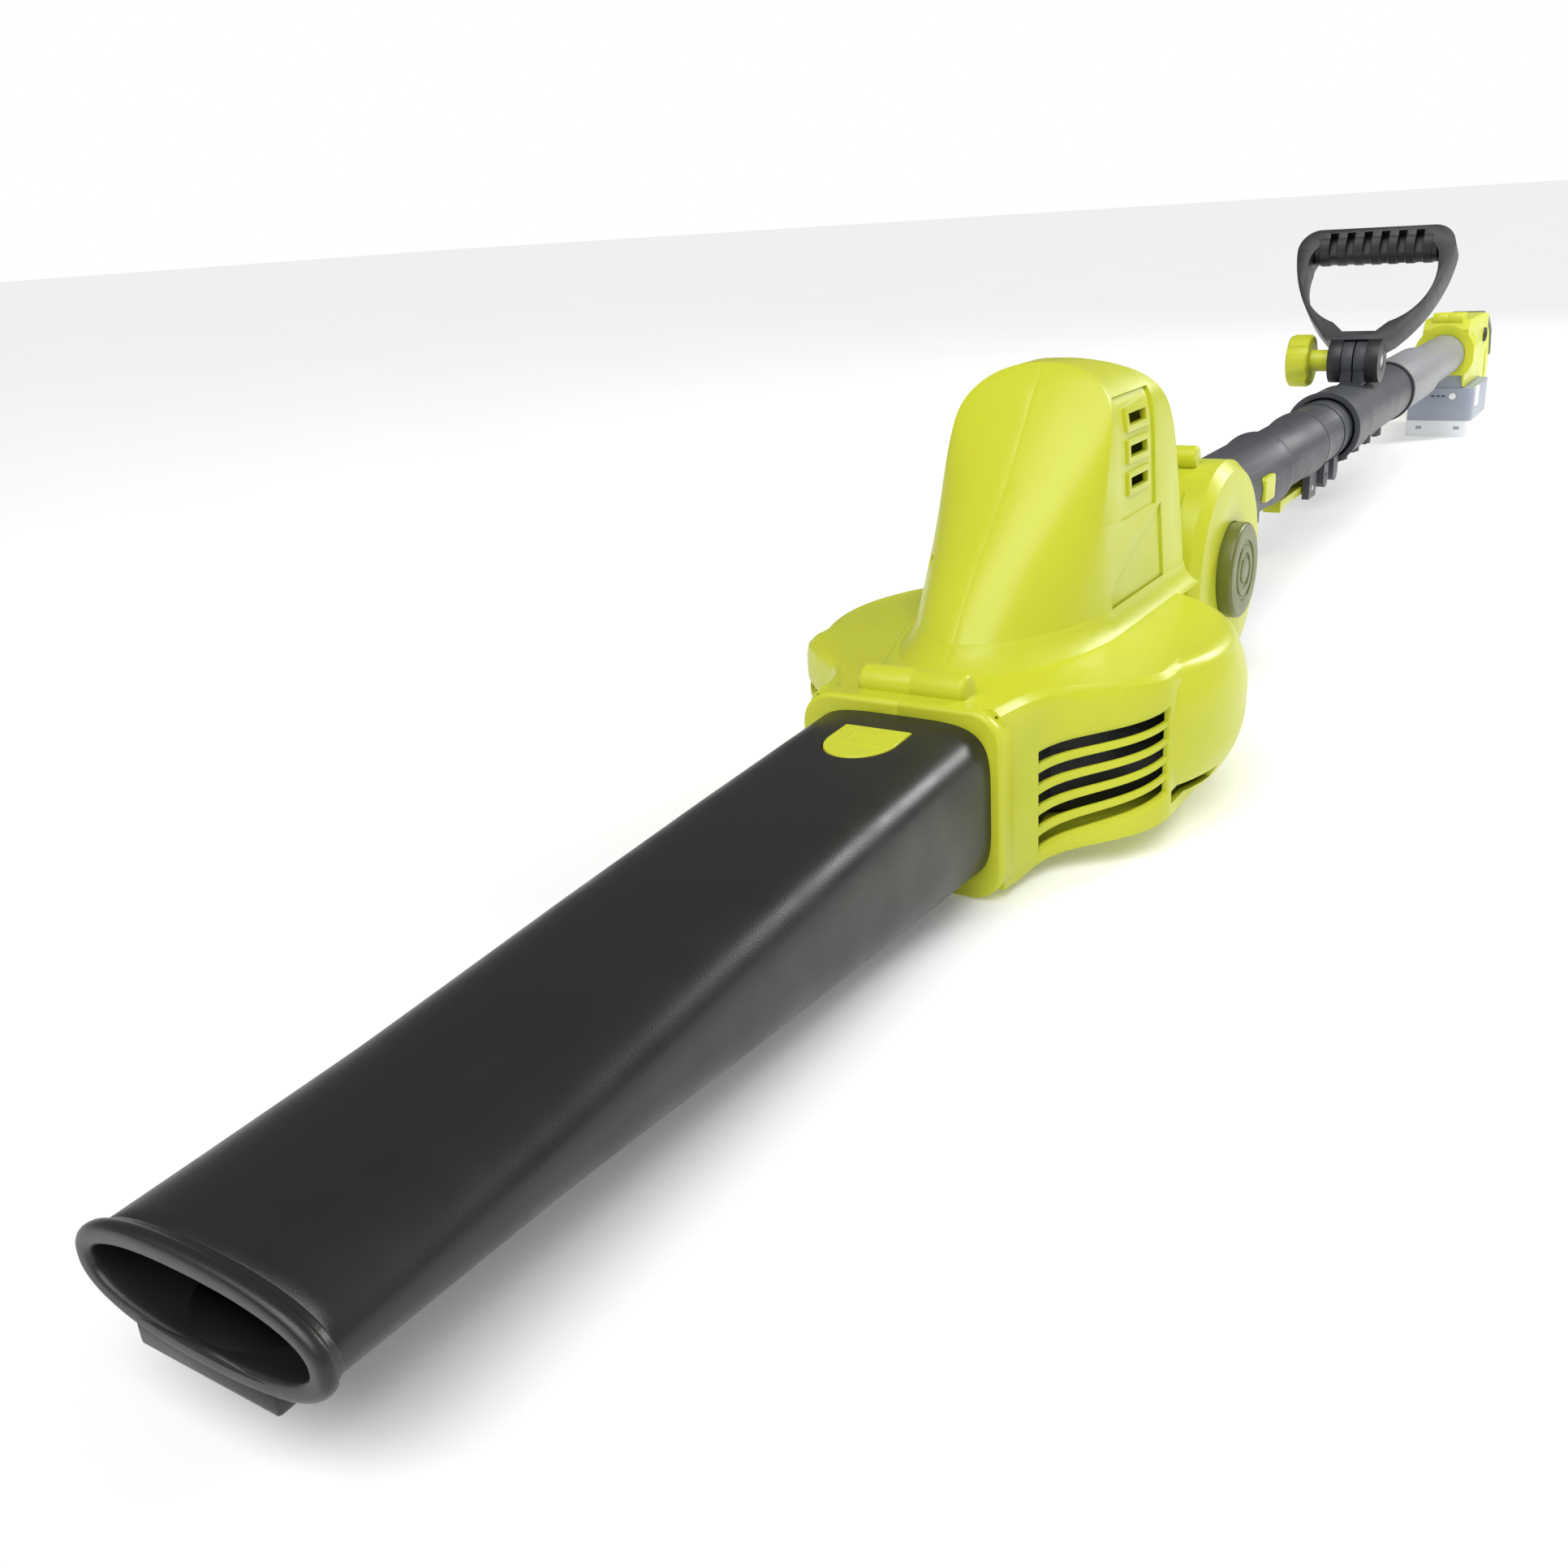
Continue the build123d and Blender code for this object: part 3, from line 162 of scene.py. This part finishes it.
def coated_tube(name, colour):
    """Grey coated tube: soft sheen with faint lines along the pole."""
    s = Shader(name, 0.42, specular=0.5)
    lines = s.noise(500.0, 3.0, ALONG_POLE)
    s.colour(s.ramp(s.noise(14.0, 4.0), shade(colour, 0.95), shade(colour, 1.05)))
    s.roughness(lines, 0.36, 0.5)
    s.bump((lines, 0.00003, 0.25), (s.noise(3000.0, 2.0), 0.00003, 0.2))
    return s.material


LIME = (0.585, 0.625, 0.034)
DARK = (0.015, 0.014, 0.014)
SLATE = (0.044, 0.048, 0.056)

MATERIALS = {
    "lime": plastic("lime_plastic", LIME, 0.33, grain=3200.0, depth=0.00003, strength=0.18,
                    specular=0.38, vary=0.02),
    "nozzle": plastic("nozzle_plastic", DARK, 0.37, grain=1300.0, depth=0.00011, strength=0.5,
                      specular=0.5, vary=0.08),
    "slate": plastic("slate_plastic", SLATE, 0.46, grain=2200.0, depth=0.00006, strength=0.4),
    "handle_dark": plastic("handle_plastic", (0.015, 0.0165, 0.019), 0.42, grain=2000.0, strength=0.45),
    "black": plastic("black_plastic", (0.02, 0.021, 0.023), 0.5, grain=2000.0),
    "olive": plastic("olive_plastic", (0.135, 0.15, 0.03), 0.34, grain=2600.0, strength=0.3),
    "grip": plastic("soft_grip", (0.17, 0.19, 0.22), 0.62, grain=1400.0, depth=0.00012, strength=0.6),
    "battery": plastic("battery_plastic", (0.30, 0.335, 0.40), 0.42, grain=2400.0),
    "white": plastic("white_plastic", (0.78, 0.80, 0.82), 0.4, grain=2600.0, vary=0.02),
    "nylon": plastic("nylon", (0.55, 0.54, 0.5), 0.45),
    "tube": coated_tube("tube_coating", (0.25, 0.255, 0.265)),
    "steel": metal("bright_steel", (0.58, 0.58, 0.59), 0.3),
    "dark_steel": metal("dark_steel", (0.16, 0.165, 0.175), 0.38),
    "copper": metal("copper", (0.75, 0.38, 0.2), 0.3),
}

NODE_MATERIAL = {
    "lime": "housing_left housing_right intake_grille intake_ring nozzle_latch coupling_button flip_lever "
            "clamp_knob handle_left handle_right",
    "nozzle": "blow_nozzle",
    "slate": "pivot_adapter lock_collar handle_clamp pivot_cap",
    "handle_dark": "d_handle trigger lock_off_button",
    "black": "sleeve_seal scroll_lower scroll_upper impeller terminal_block trigger_switch",
    "olive": "pivot_lock_button",
    "grip": "handle_grip",
    "battery": "battery_case",
    "white": "battery_base battery_gauge_button battery_latch_left battery_latch_right",
    "nylon": "inner_tube_bush",
    "tube": "inner_tube main_tube tube_sleeve",
    "steel": "motor_mount motor_can motor_end_cap motor_bearing_lower motor_bearing_upper motor_shaft "
             "pivot_axle flip_lever_pin trigger_pin clamp_bolt battery_cells impeller_nut",
    "dark_steel": "motor_magnets armature_core housing_screws handle_screws clamp_screws clamp_nut",
    "copper": "commutator terminal_blades",
}

FINE_EDGE = 0.0005
EDGE_WIDTH = {"housing_left": 0.0012, "housing_right": 0.0012, "blow_nozzle": 0.0008, "d_handle": 0.0012,
              "handle_left": 0.0012, "handle_right": 0.0012, "clamp_knob": 0.0012, "battery_case": 0.0009,
              "battery_base": 0.0012, "pivot_lock_button": 0.0006}


# ---------------------------------------------------------------- mesh helpers
def paint(obj, material):
    obj.data.materials.clear()
    obj.data.materials.append(material)


def smooth(mesh):
    for polygon in mesh.polygons:
        polygon.use_smooth = True


def round_edges(obj, width, angle):
    """Rounds the edges that turn by more than an angle in degrees."""
    bevel = obj.modifiers.new("bevel", "BEVEL")
    bevel.width = width
    bevel.segments = 3
    bevel.limit_method = "ANGLE"
    bevel.angle_limit = math.radians(angle)
    bevel.harden_normals = True


def soften(obj, width):
    """Rounds a CAD node's sharp edges, as a real mould does."""
    weld = obj.modifiers.new("weld", "WELD")
    weld.merge_threshold = 0.00001
    flat = obj.modifiers.new("flat", "DECIMATE")
    flat.decimate_type = "DISSOLVE"
    flat.angle_limit = math.radians(0.5)
    round_edges(obj, width, 28)


def piece(name, bm, material, body, *stands_for, width=0.0):
    """A finished mesh piece that rides on a body and stands for CAD nodes."""
    bmesh.ops.recalc_face_normals(bm, faces=bm.faces)
    mesh = bpy.data.meshes.new(name)
    bm.to_mesh(mesh)
    bm.free()
    smooth(mesh)
    obj = bpy.data.objects.new(name, mesh)
    SCENE.collection.objects.link(obj)
    paint(obj, material)
    if width:
        round_edges(obj, width, 35)
    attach(obj, body)
    if stands_for:
        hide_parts(*stands_for)
    return obj


def skin_rings(bm, rings):
    """Quads between successive rings of points."""
    made = [[bm.verts.new(p) for p in ring] for ring in rings]
    for a, b in zip(made, made[1:]):
        for i in range(len(a)):
            j = (i + 1) % len(a)
            bm.faces.new((a[i], a[j], b[j], b[i]))
    return made


def join_ends(bm, first, last):
    """Quads that close a skin's last ring onto its first."""
    for i in range(len(first)):
        j = (i + 1) % len(first)
        bm.faces.new((last[i], last[j], first[j], first[i]))


def cap_ends(bm, made):
    """One face over each end of a skin."""
    bm.faces.new(made[0])
    bm.faces.new(list(reversed(made[-1])))


for slot_name, names in NODE_MATERIAL.items():
    for node_name in names.split():
        node = NODES[node_name]
        paint(node, MATERIALS[slot_name])
        smooth(node.data)
        soften(node, EDGE_WIDTH.get(node_name, FINE_EDGE))


# ---------------------------------------------------------------- nozzle
TIP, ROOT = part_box("blow_nozzle")[0].y, -0.652
NOZZLE_Z = 0.049
NOZZLE_WALL = 0.0025
MOUTH_WALL = 0.002                      # how much thicker the wall is at the mouth
ROUND, NOZZLE_STEPS = 144, 90           # points round a ring, and rings along the nozzle
SPIGOT_END, SPIGOT_CHAMFER = -0.6142, -0.6150           # the end inside the housing's collar
TIP_SIZE = (0.0490, 0.0164, 2.3)        # half width, half height and squareness
NOZZLE_SIZES = ((TIP, TIP_SIZE), (-0.95, (0.0485, 0.0216, 2.6)), (-0.85, (0.0483, 0.0288, 3.2)),
                (-0.75, (0.0476, 0.0345, 3.9)), (ROOT, (0.0470, 0.0390, 4.6)))
LIP_BACK, LIP_DEPTH = 0.0082, 0.004     # from the tip, where the outside ends and the inside starts
LIP_PROFILE = ((0.0078, 0.0000), (0.0074, 0.0005), (0.0068, 0.0008), (0.0055, 0.0009), (0.0050, 0.0012),
               (0.0047, 0.0019), (0.0043, 0.0024), (0.0034, 0.0026), (0.0022, 0.0026), (0.0012, 0.0022),
               (0.0005, 0.0015), (0.0001, 0.0006), (0.0000, -0.0004), (0.0001, -0.0026),
               (0.0003, -0.0034), (0.0009, -0.0042), (0.0019, -0.0045))    # from the tip, and outwards


def super_ring(y, half_width, half_height, squareness):
    """A ring of points on a superellipse across the nozzle."""
    ring = []
    for i in range(ROUND):
        t = 2 * math.pi * (i + 0.5) / ROUND
        c, d = math.cos(t), math.sin(t)
        reach = (abs(c) ** squareness + abs(d) ** squareness) ** (-1 / squareness)
        ring.append(Vector((half_width * reach * c, y, NOZZLE_Z + half_height * reach * d)))
    return ring


def nozzle_size(y):
    """Half width, half height and squareness of the nozzle's outside at one place along it."""
    for (a, low), (b, high) in zip(NOZZLE_SIZES, NOZZLE_SIZES[1:]):
        if y <= b:
            t = min(max((y - a) / (b - a), 0.0), 1.0)
            return tuple(p + (q - p) * t for p, q in zip(low, high))
    return NOZZLE_SIZES[-1][1]


def make_nozzle():
    bm = bmesh.new()
    # the outside, from inside the housing's collar to the back of the lip
    rings = [super_ring(SPIGOT_END, 0.0448, 0.0368, 4.6),
             super_ring(SPIGOT_CHAMFER, 0.04575, 0.03775, 4.6),
             super_ring(ROOT + 0.001, 0.04575, 0.03775, 4.6)]
    for i in range(NOZZLE_STEPS + 1):
        y = ROOT + (TIP + LIP_BACK - ROOT) * i / NOZZLE_STEPS
        rings.append(super_ring(y, *nozzle_size(y)))
    # the lip: a small step, a wide collar with a rounded corner and a nearly flat front
    half_width, half_height, squareness = TIP_SIZE
    for y, grow in LIP_PROFILE:
        rings.append(super_ring(TIP + y, half_width + grow, half_height + grow, squareness))
    # the inside, back to the collar
    for i in range(NOZZLE_STEPS + 1):
        y = TIP + LIP_DEPTH + (ROOT - TIP - LIP_DEPTH) * i / NOZZLE_STEPS
        half_width, half_height, squareness = nozzle_size(y)
        wall = NOZZLE_WALL + MOUTH_WALL * (1 - i / NOZZLE_STEPS) ** 8
        rings.append(super_ring(y, half_width - wall, half_height - wall, squareness))
    rings.append(super_ring(ROOT + 0.004, 0.04325, 0.03525, 4.6))
    rings.append(super_ring(SPIGOT_END, 0.04325, 0.03525, 4.6))
    made = skin_rings(bm, rings)
    join_ends(bm, made[0], made[-1])
    cut_window(piece("nozzle_body", bm, MATERIALS["nozzle"], "nozzle", "blow_nozzle"))


LATCH_HALF_WIDTH, LATCH_REAR_Y, LATCH_FRONT_Y = 0.017, -0.6702, -0.686
LATCH_DROP, LATCH_ARC, LATCH_PROUD = 0.019, 60, 0.0006
LATCH_RIM = ((0.0080, 1.0), (0.0010, 1.0), (0.0004, 0.992), (0.0001, 0.975))    # below the top, and size
LATCH_RINGS = 30
RIDGE_PITCH, RIDGE_RISE = 0.0055, 0.0006
RIDGE_FIRST, RIDGE_LAST = -0.9, -4.6    # from the straight edge, in pitches
RIDGE_HALF_WIDTH, RIDGE_FADE = 0.0125, 0.003
WINDOW_GAP, WINDOW_BOTTOM, WINDOW_TOP = 0.0005, NOZZLE_Z + 0.020, NOZZLE_Z + 0.060


def latch_outline(grow):
    """The release button's D shape: straight towards the head, round towards the tip."""
    half, straight = LATCH_HALF_WIDTH + grow, LATCH_REAR_Y + grow
    points = [(-half, straight), (-half / 3, straight), (half / 3, straight), (half, straight)]
    for i in range(LATCH_ARC + 1):
        t = math.pi * i / LATCH_ARC
        points.append((half * math.cos(t), LATCH_FRONT_Y - (LATCH_DROP + grow) * math.sin(t)))
    return points


def cut_window(body):
    """Opens the nozzle's top for the release button."""
    bm = bmesh.new()
    outline = latch_outline(WINDOW_GAP)
    made = skin_rings(bm, [[Vector((x, y, z)) for x, y in outline] for z in (WINDOW_BOTTOM, WINDOW_TOP)])
    cap_ends(bm, made)
    bmesh.ops.recalc_face_normals(bm, faces=bm.faces)
    mesh = bpy.data.meshes.new("window")
    bm.to_mesh(mesh)
    bm.free()
    cutter = bpy.data.objects.new("window", mesh)
    SCENE.collection.objects.link(cutter)
    cut = body.modifiers.new("window", "BOOLEAN")
    cut.operation, cut.solver, cut.object = "DIFFERENCE", "EXACT", cutter
    shaped = bpy.data.meshes.new_from_object(body.evaluated_get(bpy.context.evaluated_depsgraph_get()))
    body.modifiers.clear()
    body.data = shaped
    bpy.data.objects.remove(cutter)
    smooth(shaped)
    body.modifiers.new("edges", "EDGE_SPLIT").split_angle = math.radians(50)


def latch_ring(outline, share, drop):
    """The outline, shrunk towards its middle and laid on the nozzle's slope."""
    middle = (LATCH_REAR_Y + LATCH_FRONT_Y - LATCH_DROP) / 2
    ring = []
    for x, y in outline:
        x, y = x * share, middle + (y - middle) * share
        top = NOZZLE_Z + nozzle_size(y)[1] + LATCH_PROUD
        within = min(max((RIDGE_HALF_WIDTH - abs(x)) / RIDGE_FADE, 0.0), 1.0)
        along = (y - LATCH_REAR_Y) / RIDGE_PITCH
        ridge = max(0.0, math.sin(2 * math.pi * along)) ** 2 if RIDGE_LAST < along < RIDGE_FIRST else 0.0
        lift = 0.0 if drop else RIDGE_RISE * ridge * within
        ring.append(Vector((x, y, top - drop + lift)))
    return ring


def make_latch():
    """The release button: it follows the nozzle's slope, with a rounded rim and low cross ridges."""
    bm = bmesh.new()
    outline = latch_outline(0.0)
    rings = [latch_ring(outline, share, drop) for drop, share in LATCH_RIM]
    for i in range(1, LATCH_RINGS):
        rings.append(latch_ring(outline, LATCH_RIM[-1][1] * (1 - i / LATCH_RINGS), 0.0))
    cap_ends(bm, skin_rings(bm, rings))
    piece("nozzle_button", bm, MATERIALS["lime"], "nozzle_release", "nozzle_latch")


FOOT_HALF_WIDTH, FOOT_TOP, FOOT_BOTTOM = 0.0292, 0.0370, NOZZLE_Z - 0.0226
FOOT_CORNER, FOOT_CORNER_STEPS = 0.0022, 6
FOOT_PROFILE = ((0.0001, 0.0012), (0.0004, 0.0005), (0.0012, 0.0), (0.0080, 0.0), (0.0120, 0.0008),
                (0.0150, 0.0026), (0.0170, 0.0046))     # from the tip, and inwards


def make_foot():
    """The shallow tab under the lip, flush with its front, with rounded ends."""
    bm = bmesh.new()
    outline = [(-FOOT_HALF_WIDTH, FOOT_TOP)]
    for i in range(FOOT_CORNER_STEPS + 1):
        t = math.pi / 2 * i / FOOT_CORNER_STEPS
        outline.append((-FOOT_HALF_WIDTH + FOOT_CORNER * (1 - math.cos(t)),
                        FOOT_BOTTOM + FOOT_CORNER * (1 - math.sin(t))))
    outline += [(-x, z) for x, z in reversed(outline)]
    rings = []
    for y, shrink in FOOT_PROFILE:
        narrower = 1 - shrink / FOOT_HALF_WIDTH
        rings.append([Vector((x * narrower, TIP + y, max(z, FOOT_BOTTOM + shrink))) for x, z in outline])
    cap_ends(bm, skin_rings(bm, rings))
    piece("nozzle_foot", bm, MATERIALS["nozzle"], "nozzle")


make_nozzle()
make_foot()
make_latch()


# ---------------------------------------------------------------- front handle
GRIP_CENTRE = Vector((0.0, 0.3435, 0.24486))
GRIP_UP = Vector((0.0, 0.5, 0.8660))
GRIP_FRONT = Vector((0.0, -0.8660, 0.5))
GRIP_RADIUS = 0.014
BAND_COUNT, BAND_PITCH = 7, 0.0155
BAND_START, BAND_SWEEP, BAND_STEPS = 58, 215, 40        # degrees above the front, and round the grip
BAND_FADE_STEPS, BAND_SINK = 3, 0.0004                  # the ends run down into the grip
BAND_SECTION = ((-0.0044, -0.0015), (-0.0044, 0.0004), (-0.0038, 0.0009), (0.0038, 0.0009),
                (0.0044, 0.0004), (0.0044, -0.0015))    # along the grip, and height above it


def make_bands():
    """Seven raised bands round the front and underside of the grip."""
    bm = bmesh.new()
    for band in range(BAND_COUNT):
        middle = (band - (BAND_COUNT - 1) / 2) * BAND_PITCH
        rings = []
        for i in range(BAND_STEPS + 1):
            angle = math.radians(BAND_START - BAND_SWEEP * i / BAND_STEPS)
            fade = min(1.0, i / BAND_FADE_STEPS, (BAND_STEPS - i) / BAND_FADE_STEPS)
            way = GRIP_FRONT * math.cos(angle) + GRIP_UP * math.sin(angle)
            ring = []
            for x, rise in BAND_SECTION:
                reach = GRIP_RADIUS + (rise if rise < 0 else rise * fade - BAND_SINK * (1 - fade))
                ring.append(GRIP_CENTRE + way * reach + Vector((middle + x, 0, 0)))
            rings.append(ring)
        cap_ends(bm, skin_rings(bm, rings))
    piece("grip_bands", bm, MATERIALS["handle_dark"], "front_handle", width=0.0003)


make_bands()


# ---------------------------------------------------------------- battery face
TICK_HALF_WIDTH, TICK_HALF_HEIGHT, TICK_PITCH, TICK_GAP = 0.0019, 0.0009, 0.0062, 0.006
NOTCH_X, NOTCH_HALF_WIDTH, NOTCH_BOTTOM, NOTCH_TOP = 0.022, 0.0035, 0.0095, 0.0135
FACE_PROUD = 0.001


def slab(name, low, high, material, body, width):
    """A small moulded block with rounded edges."""
    bm = bmesh.new()
    bmesh.ops.create_cube(bm, size=1.0)
    for vert in bm.verts:
        vert.co = Vector([a + (b - a) * (c + 0.5) for a, b, c in zip(low, high, vert.co)])
    bmesh.ops.bevel(bm, geom=bm.edges[:], offset=width, segments=3, profile=0.5, affect="EDGES")
    piece(name, bm, material, body)


def make_battery_face():
    """Three gauge ticks beside the gauge button, and two notches in the base."""
    low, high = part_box("battery_gauge_button")
    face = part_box("battery_case")[0].y
    middle = (low.z + high.z) / 2
    for i in range(3):
        x = low.x - TICK_GAP - TICK_PITCH * i
        slab(f"gauge_tick_{i}", (x - TICK_HALF_WIDTH, face - 0.0003, middle - TICK_HALF_HEIGHT),
             (x + TICK_HALF_WIDTH, face + FACE_PROUD, middle + TICK_HALF_HEIGHT),
             MATERIALS["black"], "battery", 0.00025)
    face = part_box("battery_base")[0].y
    for side in (-1, 1):
        x = side * NOTCH_X
        slab(f"base_notch_{side + 1}", (x - NOTCH_HALF_WIDTH, face - 0.0002, NOTCH_BOTTOM),
             (x + NOTCH_HALF_WIDTH, face + FACE_PROUD, NOTCH_TOP),
             MATERIALS["battery"], "battery", 0.0003)


make_battery_face()


# ---------------------------------------------------------------- stage, light and camera
CAMERA_PLACE = (0.307, -1.217, 0.306)
CAMERA_AZIMUTH, CAMERA_ELEVATION, CAMERA_ROLL = 33.4, 21.2, 3.8
SENSOR_MM = 36.0
LENS_MM = SENSOR_MM * 1790.0 / 1932.0


def camera_axes(azimuth, elevation, roll):
    """The camera's right, up and forward directions."""
    a, e, r = (math.radians(v) for v in (azimuth, elevation, roll))
    forward = Vector((-math.sin(a) * math.cos(e), math.cos(a) * math.cos(e), -math.sin(e)))
    right = Vector((math.cos(a), math.sin(a), 0))
    down = forward.cross(right)
    turned_right = right * math.cos(r) + down * math.sin(r)
    turned_down = down * math.cos(r) - right * math.sin(r)
    return turned_right, -turned_down, forward


def make_camera():
    right, up, forward = camera_axes(CAMERA_AZIMUTH, CAMERA_ELEVATION, CAMERA_ROLL)
    data = bpy.data.cameras.new("camera")
    data.sensor_width = SENSOR_MM
    data.lens = LENS_MM
    data.clip_start, data.clip_end = 0.01, 200.0
    camera = bpy.data.objects.new("camera", data)
    SCENE.collection.objects.link(camera)
    basis = Matrix((right, up, -forward)).transposed().to_4x4()
    camera.matrix_world = Matrix.Translation(CAMERA_PLACE) @ basis
    SCENE.camera = camera


FLOOR_SIZE, FLOOR_GLOW = 45.0, 0.14
FLOOR_DARK, FLOOR_LIGHT = (0.89, 0.89, 0.89), (0.91, 0.91, 0.91)


def make_floor():
    corners = [(x * FLOOR_SIZE, y * FLOOR_SIZE, 0) for x, y in ((-1, -1), (1, -1), (1, 1), (-1, 1))]
    mesh = bpy.data.meshes.new("floor")
    mesh.from_pydata(corners, [], [(0, 1, 2, 3)])
    floor = bpy.data.objects.new("floor", mesh)
    SCENE.collection.objects.link(floor)
    s = Shader("floor_paper", 0.7, specular=0.2)
    s.colour(s.ramp(s.noise(3.0, 2.0), FLOOR_DARK, FLOOR_LIGHT))
    s.bsdf.inputs["Emission Color"].default_value = (1.0, 1.0, 1.0, 1.0)
    s.bsdf.inputs["Emission Strength"].default_value = FLOOR_GLOW
    paint(floor, s.material)


WORLD_LEFT, WORLD_RIGHT = 0.16, 0.34
WORLD_FROM, WORLD_TO = -0.6, 0.8        # the directions along X that these two stand at


def make_world():
    """A white studio: brighter on the right, dimmer on the left, and plain white behind the floor."""
    world = bpy.data.worlds.new("studio")
    world.use_nodes = True
    tree = world.node_tree
    background = tree.nodes["Background"]
    background.inputs["Color"].default_value = (1.0, 1.0, 1.0, 1.0)
    place = tree.nodes.new("ShaderNodeTexCoord")
    split = tree.nodes.new("ShaderNodeSeparateXYZ")
    tree.links.new(place.outputs["Generated"], split.inputs["Vector"])
    side = tree.nodes.new("ShaderNodeMapRange")
    for key, value in (("From Min", WORLD_FROM), ("From Max", WORLD_TO),
                       ("To Min", WORLD_LEFT), ("To Max", WORLD_RIGHT)):
        side.inputs[key].default_value = value
    tree.links.new(split.outputs["X"], side.inputs["Value"])
    path = tree.nodes.new("ShaderNodeLightPath")
    seen = tree.nodes.new("ShaderNodeMix")
    seen.inputs["B"].default_value = 1.0
    tree.links.new(path.outputs["Is Camera Ray"], seen.inputs["Factor"])
    tree.links.new(side.outputs["Result"], seen.inputs["A"])
    tree.links.new(seen.outputs["Result"], background.inputs["Strength"])
    SCENE.world = world


def add_light(name, kind, power, way):
    """A light that shines in a direction."""
    data = bpy.data.lights.new(name, kind)
    data.energy = power
    light = bpy.data.objects.new(name, data)
    light.rotation_mode = "QUATERNION"
    light.rotation_quaternion = way.to_track_quat("-Z", "Y")
    SCENE.collection.objects.link(light)
    return light


def area_light(name, place, target, size, power):
    light = add_light(name, "AREA", power, Vector(target) - Vector(place))
    light.location = place
    light.data.shape = "RECTANGLE"
    light.data.size, light.data.size_y = size


def sun_light(name, toward, power, spread):
    add_light(name, "SUN", power, Vector(toward)).data.angle = math.radians(spread)


def make_light():
    make_world()
    sun_light("key", (-0.2, 0.55, -1.0), 2.3, 50)
    area_light("back_strip", (1.05, 1.5, 1.3), (0, -0.6, 0.1), (0.4, 1.0), 27)
    area_light("front", (-0.7, -2.0, 1.3), (0, -0.6, 0.15), (0.9, 0.9), 6)
    SCENE.view_settings.view_transform = "Standard"
    SCENE.view_settings.look = "None"


make_camera()
make_floor()
make_light()
